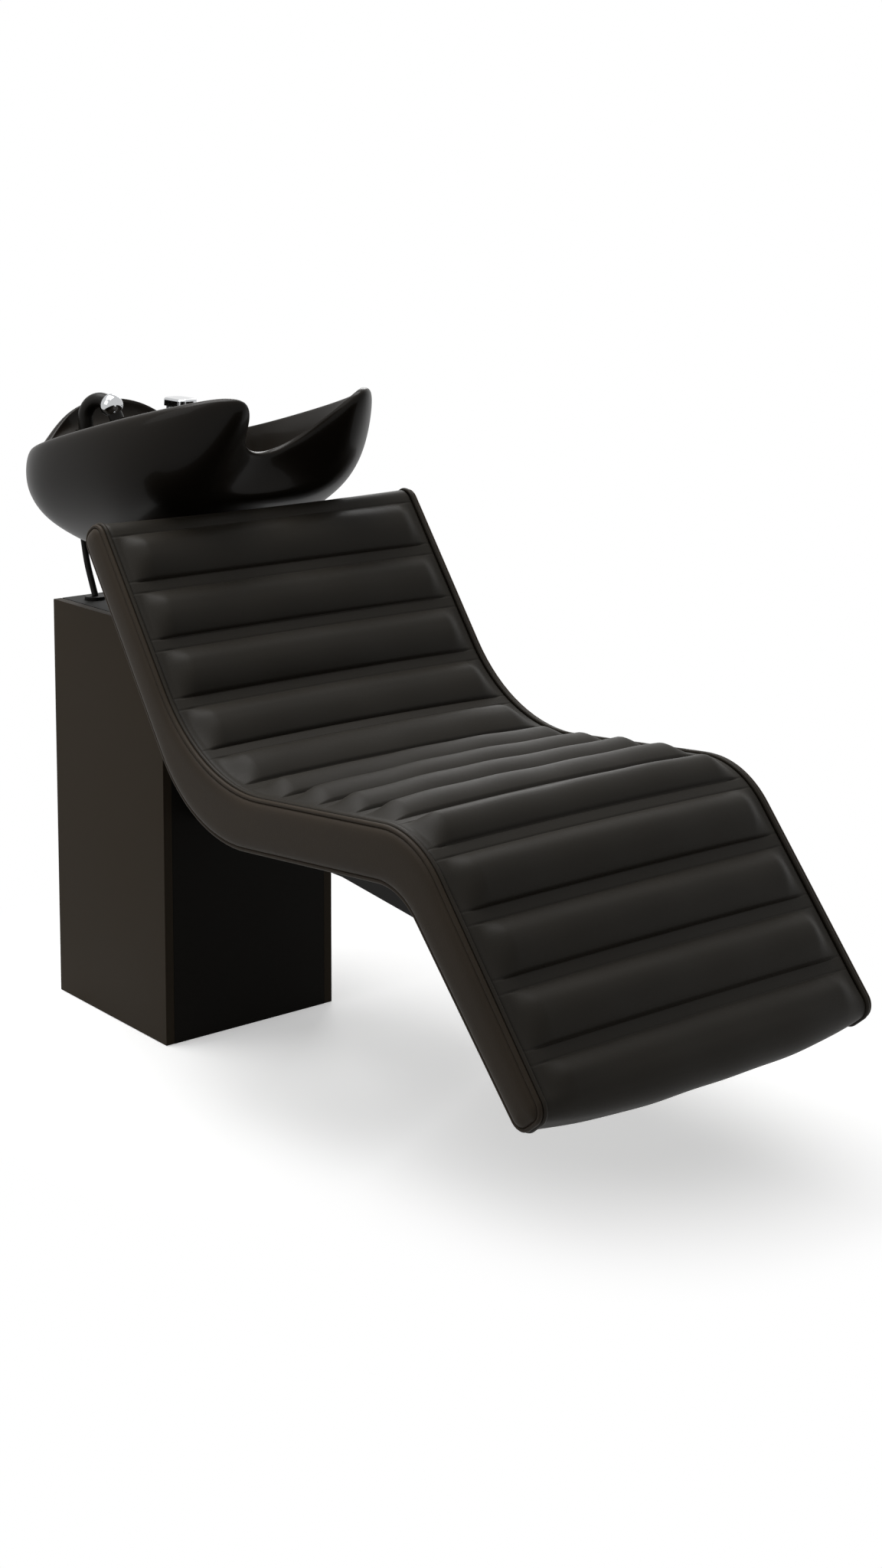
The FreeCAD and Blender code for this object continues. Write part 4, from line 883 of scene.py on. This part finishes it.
class BACKWASH_OT_bowl(Operator):
    """Throws the wash bowl over its control rings"""

    bl_idname = "backwash.bowl"
    bl_label = "Wash Bowl"

    # Height, width, front, rear, notch and squareness shares, from the foot up to the rim
    outer_shares = (
        (0.00, 0.16, 0.10, 0.16, 0.00, 1.00), (0.00, 0.36, 0.20, 0.43, 0.00, 0.80),
        (0.10, 0.58, 0.31, 0.67, 0.00, 0.58), (0.27, 0.79, 0.45, 0.86, 0.00, 0.43),
        (0.42, 0.91, 0.62, 0.96, 0.03, 0.45), (0.63, 1.00, 0.79, 1.02, 0.52, 0.63),
        (0.87, 1.01, 0.935, 1.01, 0.90, 0.80), (1.00, 0.985, 0.99, 0.955, 1.00, 0.87),
    )
    # The same, from the rim down to the floor
    inner_shares = (
        (1.00, 0.935, 0.945, 0.905, 0.97, 0.87), (0.88, 0.895, 0.88, 0.88, 0.84, 0.80),
        (0.66, 0.87, 0.73, 0.89, 0.44, 0.65), (0.44, 0.77, 0.55, 0.80, 0.03, 0.53),
        (0.24, 0.58, 0.36, 0.60, 0.00, 0.60), (0.05, 0.36, 0.20, 0.40, 0.00, 0.80),
        (0.00, 0.18, 0.11, 0.18, 0.00, 1.00),
    )
    # Height and rear shares of the tap deck and its weight, on each inner ring
    deck_shares = (
        (1.00, 0.955, 0.00), (1.02, 0.90, 1.00), (0.99, 0.47, 1.00), (0.72, 0.38, 1.00),
        (0.30, 0.35, 1.00), (0.04, 0.32, 1.00), (0.00, 0.18, 1.00),
    )
    # How abruptly each form fades along the rim
    notch_power = 2.6
    dip_power = 2.2
    hump_power = 4
    deck_power = 4
    rear_power = 4

    def execute(self, context):
        size = context.scene.backwash_bowl
        rings = [self.drain_ring(size, size.bottom_z)]
        rings += [self.ring(size, shares, size.bottom_z) for shares in self.outer_shares]
        floor_z = size.bottom_z + size.floor
        rings += [self.ring(size, a, floor_z, b) for a, b in zip(self.inner_shares, self.deck_shares)]
        rings += [self.drain_ring(size, floor_z)]
        clear_selection()
        bpy.ops.mesh.primitive_torus_add(
            major_segments=size.points, minor_segments=len(rings), generate_uvs=False
        )
        piece = context.object
        piece.name = piece.data.name = "wash_bowl"
        for vertex in piece.data.vertices:
            around, ring = divmod(vertex.index, len(rings))
            vertex.co = rings[ring][around]
        face_outward(piece)
        rim = 1 + len(self.outer_shares)
        self.crease(piece, {0: 1.0, rim: size.rim_crease, len(rings) - 1: 1.0}, len(rings))
        apply_modifier(piece, "SUBSURF", levels=size.smoothing, render_levels=size.smoothing)
        smooth(piece, degrees=60)
        dress(piece, "bowl_body", "bowl_glaze", "bowl")
        return {"FINISHED"}

    def crease(self, piece, rings, total):
        """Sharpens the rings named by their number."""
        crease = piece.data.attributes.new("crease_edge", "FLOAT", "EDGE")
        for edge in piece.data.edges:
            a, b = (v % total for v in edge.vertices)
            if a == b and a in rings:
                crease.data[edge.index].value = rings[a]

    def angles(self, size):
        step = np.arange(size.points) * math.tau / size.points
        return step - size.crowding * np.sin(step)

    def drain_ring(self, size, z):
        return [
            (size.drain * math.sin(a), size.drain_y - size.drain * math.cos(a), z) for a in self.angles(size)
        ]

    def ring(self, size, shares, base_z, deck=None):
        """Control points of one ring, from the notch round the bowl."""
        height, width, front, rear, notch, square = shares
        front_length, rear_length = size.drain_y - size.horn_y, size.rear_y - size.drain_y
        ring = []
        for t in self.angles(size):
            c, s = math.cos(t), math.sin(t)
            behind = abs(math.remainder(t - math.pi, math.tau))
            ahead = abs(math.remainder(t, math.tau))
            rear_square = size.rear_square + (square - size.rear_square) * (1 + c) ** self.rear_power
            power = square if c >= 0 else rear_square
            weight = deck[2] * fading(behind, size.deck_reach, self.deck_power) if deck else 0.0
            reach = rear + (deck[1] - rear) * weight if deck else rear
            x = width * size.width / 2 * math.copysign(abs(s) ** power, s)
            along = math.copysign(abs(c) ** power, c)
            plan = size.drain_y - along * (front_length if c > 0 else rear_length)
            y = size.drain_y - along * (front_length * front if c > 0 else rear_length * reach)
            cut = notch * fading(ahead, size.notch_reach, self.notch_power)
            x *= 1 + size.notch_spread * cut
            y += cut * (size.notch_y - size.horn_y)
            forward = (size.rear_y - plan) / (size.rear_y - size.horn_y)
            top = size.rear_z + (size.horn_z - size.rear_z) * forward
            top += (size.hump_z - size.rear_z) * fading(behind, size.hump_reach, self.hump_power)
            dip = math.sqrt(notch) * fading(ahead, size.dip_reach, self.dip_power)
            top -= dip * (size.horn_z - size.notch_z)
            z = base_z + height * (top - base_z)
            if deck:
                z += (base_z + deck[0] * (size.deck_z - base_z) - z) * weight
            ring.append((x, y, z))
        return ring


def swept_tube(name, points, radius, around, rib=0.0, pitch=1.0):
    """A tube along a smoothed line between the points, ribbed where rib isn't zero."""
    step, passes = 0.0015, 60
    line = np.array(points, float)
    spans = np.concatenate([[0], np.cumsum(np.linalg.norm(np.diff(line, axis=0), axis=1))])
    fine = np.linspace(0, spans[-1], max(int(spans[-1] / step), 8))
    smoothed = np.stack([np.interp(fine, spans, line[:, k]) for k in range(3)], 1)
    for _ in range(passes):
        smoothed[1:-1] = (smoothed[:-2] + smoothed[2:]) / 2
    tangent = np.gradient(smoothed, axis=0)
    tangent /= np.linalg.norm(tangent, axis=1)[:, None]
    side = np.cross(tangent, (1.0, 0.0, 0.0))
    side /= np.linalg.norm(side, axis=1)[:, None]
    other = np.cross(tangent, side)
    rings = []
    for i, p in enumerate(smoothed):
        r = radius - rib * (0.5 - 0.5 * math.cos(fine[i] / pitch * math.tau))
        for k in range(around):
            t = math.tau * k / around
            rings.append(p + r * (math.cos(t) * side[i] + math.sin(t) * other[i]))
    faces = lattice(len(smoothed), around) + end_caps(len(smoothed), around)
    piece = add_mesh(name, rings, faces)
    smooth(piece, degrees=60)
    return piece


def node_ends(node):
    """Middle of a frame node's lowest and highest rings of points."""
    end_share = 0.03
    mesh = frame["nodes"][node].data
    points = np.array([tuple(v.co) for v in mesh.vertices])
    height = points[:, 2]
    end = end_share * np.ptp(height)
    low = points[height < height.min() + end].mean(0)
    high = points[height > height.max() - end].mean(0)
    return low, high


class BACKWASH_OT_hoses(Operator):
    """Runs the hoses between the plinth and the bowl"""

    bl_idname = "backwash.hoses"
    bl_label = "Hoses"

    riser_radius = 0.0054
    riser_bow = (0.0, 0.006, 0.0)
    riser_sides = 20
    waste_radius = 0.0236
    waste_sides = 32
    rib = 0.0022
    rib_pitch = 0.0065

    def execute(self, context):
        for node in ("cold_riser", "hot_riser"):
            low, high = node_ends(node)
            route = [low, (low + high) / 2 + np.array(self.riser_bow), high]
            name = node.replace("riser", "hose_upper")
            piece = swept_tube(name, route, self.riser_radius, self.riser_sides)
            self.flexing(piece, node, low, high)
        low, high = node_ends("waste_hose")
        route = [low, (low + high) / 2, high]
        piece = swept_tube(
            "waste_hose_ribbed", route, self.waste_radius, self.waste_sides, self.rib, self.rib_pitch
        )
        self.flexing(piece, "waste_hose", low, high)
        return {"FINISHED"}

    def flexing(self, piece, node, low, high):
        slot = slot_of(node)
        piece.data.materials.append(finishes[slot])
        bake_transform(piece)
        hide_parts(node)


class BACKWASH_OT_fittings(Operator):
    """Eases the chrome and plastic fittings on the bowl"""

    bl_idname = "backwash.fittings"
    bl_label = "Mixer and Hand Shower"

    fittings = (
        "mixer_body", "mixer_turret", "mixer_lever", "shower_holder", "drain_flange", "hose_grommets",
    )
    edge = 0.0008

    def execute(self, context):
        for node in self.fittings:
            eased_copy(node, self.edge)
        return {"FINISHED"}


class BACKWASH_OT_finishes(Operator):
    """Mixes the finishes and paints the frame nodes that stay as they are"""

    bl_idname = "backwash.finishes"
    bl_label = "Finishes"

    def execute(self, context):
        tone = context.scene.backwash_finishes
        finishes.update({
            "upholstery": faux_leather("cushion faux leather", tone.cushion, 0.50, 0.14),
            "side_leather": faux_leather("side faux leather", tone.side, 0.46, 0.10),
            "piping": faux_leather("piping faux leather", tone.piping, 0.42, 0.12),
            "plywood": plywood("birch plywood", tone.pale_birch, tone.dark_birch),
            "side_board": laminate("charcoal laminate", tone.laminate),
            # The front and door get a darker copy of the side laminate: painted shade
            "front_board": laminate("black laminate", tone.front),
            "cover_board": laminate("cover laminate", tone.cover),
            "black_strip": coated("black spacer", tone.plastic, 0.6, 300.0, 0.0002),
            "black_steel": coated("black powder coat", tone.plastic, 0.45, 700.0, 0.0003),
            "ballast_iron": coated("cast iron", tone.iron, 0.6, 220.0, 0.0008),
            "plain_steel": bright_metal("zinc plate", tone.zinc, 0.22, 400.0),
            "bowl_glaze": glaze("black glaze", tone.glaze),
            "chrome": bright_metal("chrome plate", tone.chrome, 0.06, 250.0),
            "brass": bright_metal("machined brass", tone.brass, 0.2, 500.0),
            "black_plastic": coated("black plastic", tone.plastic, 0.32, 500.0, 0.0001),
            "hose_rubber": coated("hose rubber", tone.rubber, 0.5, 600.0, 0.0002),
            "waste_plastic": coated("waste plastic", tone.waste, 0.3, 200.0, 0.0001),
            "hot_grip": coated("red grip", tone.hot, 0.35, 400.0, 0.0001),
            "cold_grip": coated("blue grip", tone.cold, 0.35, 400.0, 0.0001),
        })
        for name, node in frame["nodes"].items():
            node.data.materials.clear()
            node.data.materials.append(finishes[slot_of(name)])
        return {"FINISHED"}


class BACKWASH_OT_stage(Operator):
    """Sets the pale floor, the lamps and the camera"""

    bl_idname = "backwash.stage"
    bl_label = "Stage"

    # Place, target and width of each lamp
    lamps = {
        "top": ((-0.4, 0.45, 3.4), (0, -0.4, 0.3), 2.0),
        "side": ((-2.9, 0.3, 2.5), (0, -0.2, 0.7), 1.9),
        "rim": ((2.4, 2.4, 2.4), (0, -0.6, 0.6), 1.4),
    }
    # Middles of the spots at the plinth, the seat and the foot where the floor keeps its cast shadow; away
    # from them a painted white glow paints the shadow out
    shadows = ((0.0, 0.0, 0.0), (0.02, -0.40, 0.0), (0.22, -0.82, 0.0))
    sensor = 36.0
    floor_width = 40.0
    floor_drop = 0.0005

    def execute(self, context):
        look = context.scene.backwash_stage
        self.floor(context, look)
        self.surround(context, look)
        for name, (place, target, width) in self.lamps.items():
            self.lamp(context, name + " lamp", place, target, width, getattr(look, name))
        camera = bpy.data.cameras.new("camera")
        camera.lens, camera.sensor_width = look.lens, self.sensor
        camera.shift_x, camera.shift_y = look.shift_x, look.shift_y
        holder = bpy.data.objects.new("camera", camera)
        holder.location = look.camera
        holder.rotation_euler = (math.pi / 2 + look.pitch, 0, look.heading)
        context.scene.collection.objects.link(holder)
        context.scene.camera = holder
        context.scene.view_settings.view_transform = "Standard"
        return {"FINISHED"}

    def floor(self, context, look):
        """A pale floor that keeps the unit's cast shadow round three spots; a painted white glow lightens
        the shadow there and paints it out away from them.
        """
        clear_selection()
        bpy.ops.mesh.primitive_plane_add(size=self.floor_width, location=(0, 0, -self.floor_drop))
        floor = context.object
        floor.name = "studio_floor"
        finish = Finish("studio floor")
        place = finish.place
        distance = {"operation": "DISTANCE"}
        plinth, seat, foot = (
            place.node("ShaderNodeVectorMath", output=1, settings=distance, i0=place, i1=spot)
            for spot in self.shadows
        )
        away = plinth.sum("MINIMUM", plinth.sum("MINIMUM", plinth, seat), foot)
        # Share of painted white, rising away from the spots: where it is one, the glow paints the cast
        # shadow out
        far = away.node(
            "ShaderNodeMapRange", settings={"interpolation_type": "SMOOTHSTEP"}, i0=away,
            i1=look.fade_start, i2=look.fade_end, i3=0.0, i4=1.0,
        )
        seen = self.seen(finish.tree)
        tone = context.scene.backwash_finishes.floor
        shown = mixed(far, rgba(tone), black)
        # Painted light: a white glow seen by camera and mirrored rays, lightening the floor's shadow near
        # the unit and covering it further away
        painted_white_glow = seen * (look.near_white + far * (1 - look.near_white))
        finish.give(Base_Color=mixed(seen, rgba(tone, look.bounce), shown), Roughness=0.8)
        finish.give(Emission_Color=mixed(painted_white_glow, black, white), Emission_Strength=1.0)
        finish.give(Specular_IOR_Level=0.0)
        floor.data.materials.append(finish.material)

    def seen(self, tree):
        """One for rays that show the background: straight, mirrored or through glass."""
        rays = tree.nodes.new("ShaderNodeLightPath")
        names = ("Is Camera Ray", "Is Glossy Ray", "Is Transmission Ray")
        straight, mirrored, through = (Field(tree, rays.outputs[name]) for name in names)
        total = straight + mirrored + through
        return total.sum("MINIMUM", total, 1.0)

    def surround(self, context, look):
        world = bpy.data.worlds.new("studio surround")
        context.scene.world = world
        world.use_nodes = True
        tree = world.node_tree
        background = tree.nodes["Background"]
        background.inputs["Strength"].default_value = 1.0
        seen = self.seen(tree)
        plug(tree, background.inputs["Color"], mixed(seen, rgba((look.sky,) * 3), white))

    def lamp(self, context, name, place, target, width, power):
        light = bpy.data.lights.new(name, "AREA")
        light.energy, light.size = power, width
        holder = bpy.data.objects.new(name, light)
        holder.location = place
        away = [a - b for a, b in zip(target, place)]
        flat = math.hypot(away[0], away[1])
        holder.rotation_euler = (math.pi / 2 + math.atan2(away[2], flat), 0, math.atan2(-away[0], away[1]))
        context.scene.collection.objects.link(holder)


class BACKWASH_PT_sidebar(Panel):
    """Lists the steps that build the unit"""

    bl_idname = "BACKWASH_PT_sidebar"
    bl_label = "Backwash Unit"
    bl_space_type = "VIEW_3D"
    bl_region_type = "UI"
    bl_category = "Backwash"

    def draw(self, context):
        for step in steps:
            self.layout.operator(step.bl_idname)


groups = {
    "backwash_lounger": LoungerSizes,
    "backwash_bowl": BowlSizes,
    "backwash_finishes": Finishes,
    "backwash_stage": StageSettings,
}
steps = (
    BACKWASH_OT_finishes, BACKWASH_OT_pad, BACKWASH_OT_sides, BACKWASH_OT_lining, BACKWASH_OT_plinth,
    BACKWASH_OT_bowl, BACKWASH_OT_hoses, BACKWASH_OT_fittings, BACKWASH_OT_stage,
)


def register():
    for name, group in groups.items():
        bpy.utils.register_class(group)
        setattr(bpy.types.Scene, name, PointerProperty(type=group))
    for step in steps:
        bpy.utils.register_class(step)
    bpy.utils.register_class(BACKWASH_PT_sidebar)


def unregister():
    bpy.utils.unregister_class(BACKWASH_PT_sidebar)
    for step in reversed(steps):
        bpy.utils.unregister_class(step)
    for name, group in groups.items():
        delattr(bpy.types.Scene, name)
        bpy.utils.unregister_class(group)


def main():
    register()
    for step in steps:
        area, name = step.bl_idname.split(".")
        getattr(getattr(bpy.ops, area), name)()


if __name__ == "__main__":
    main()
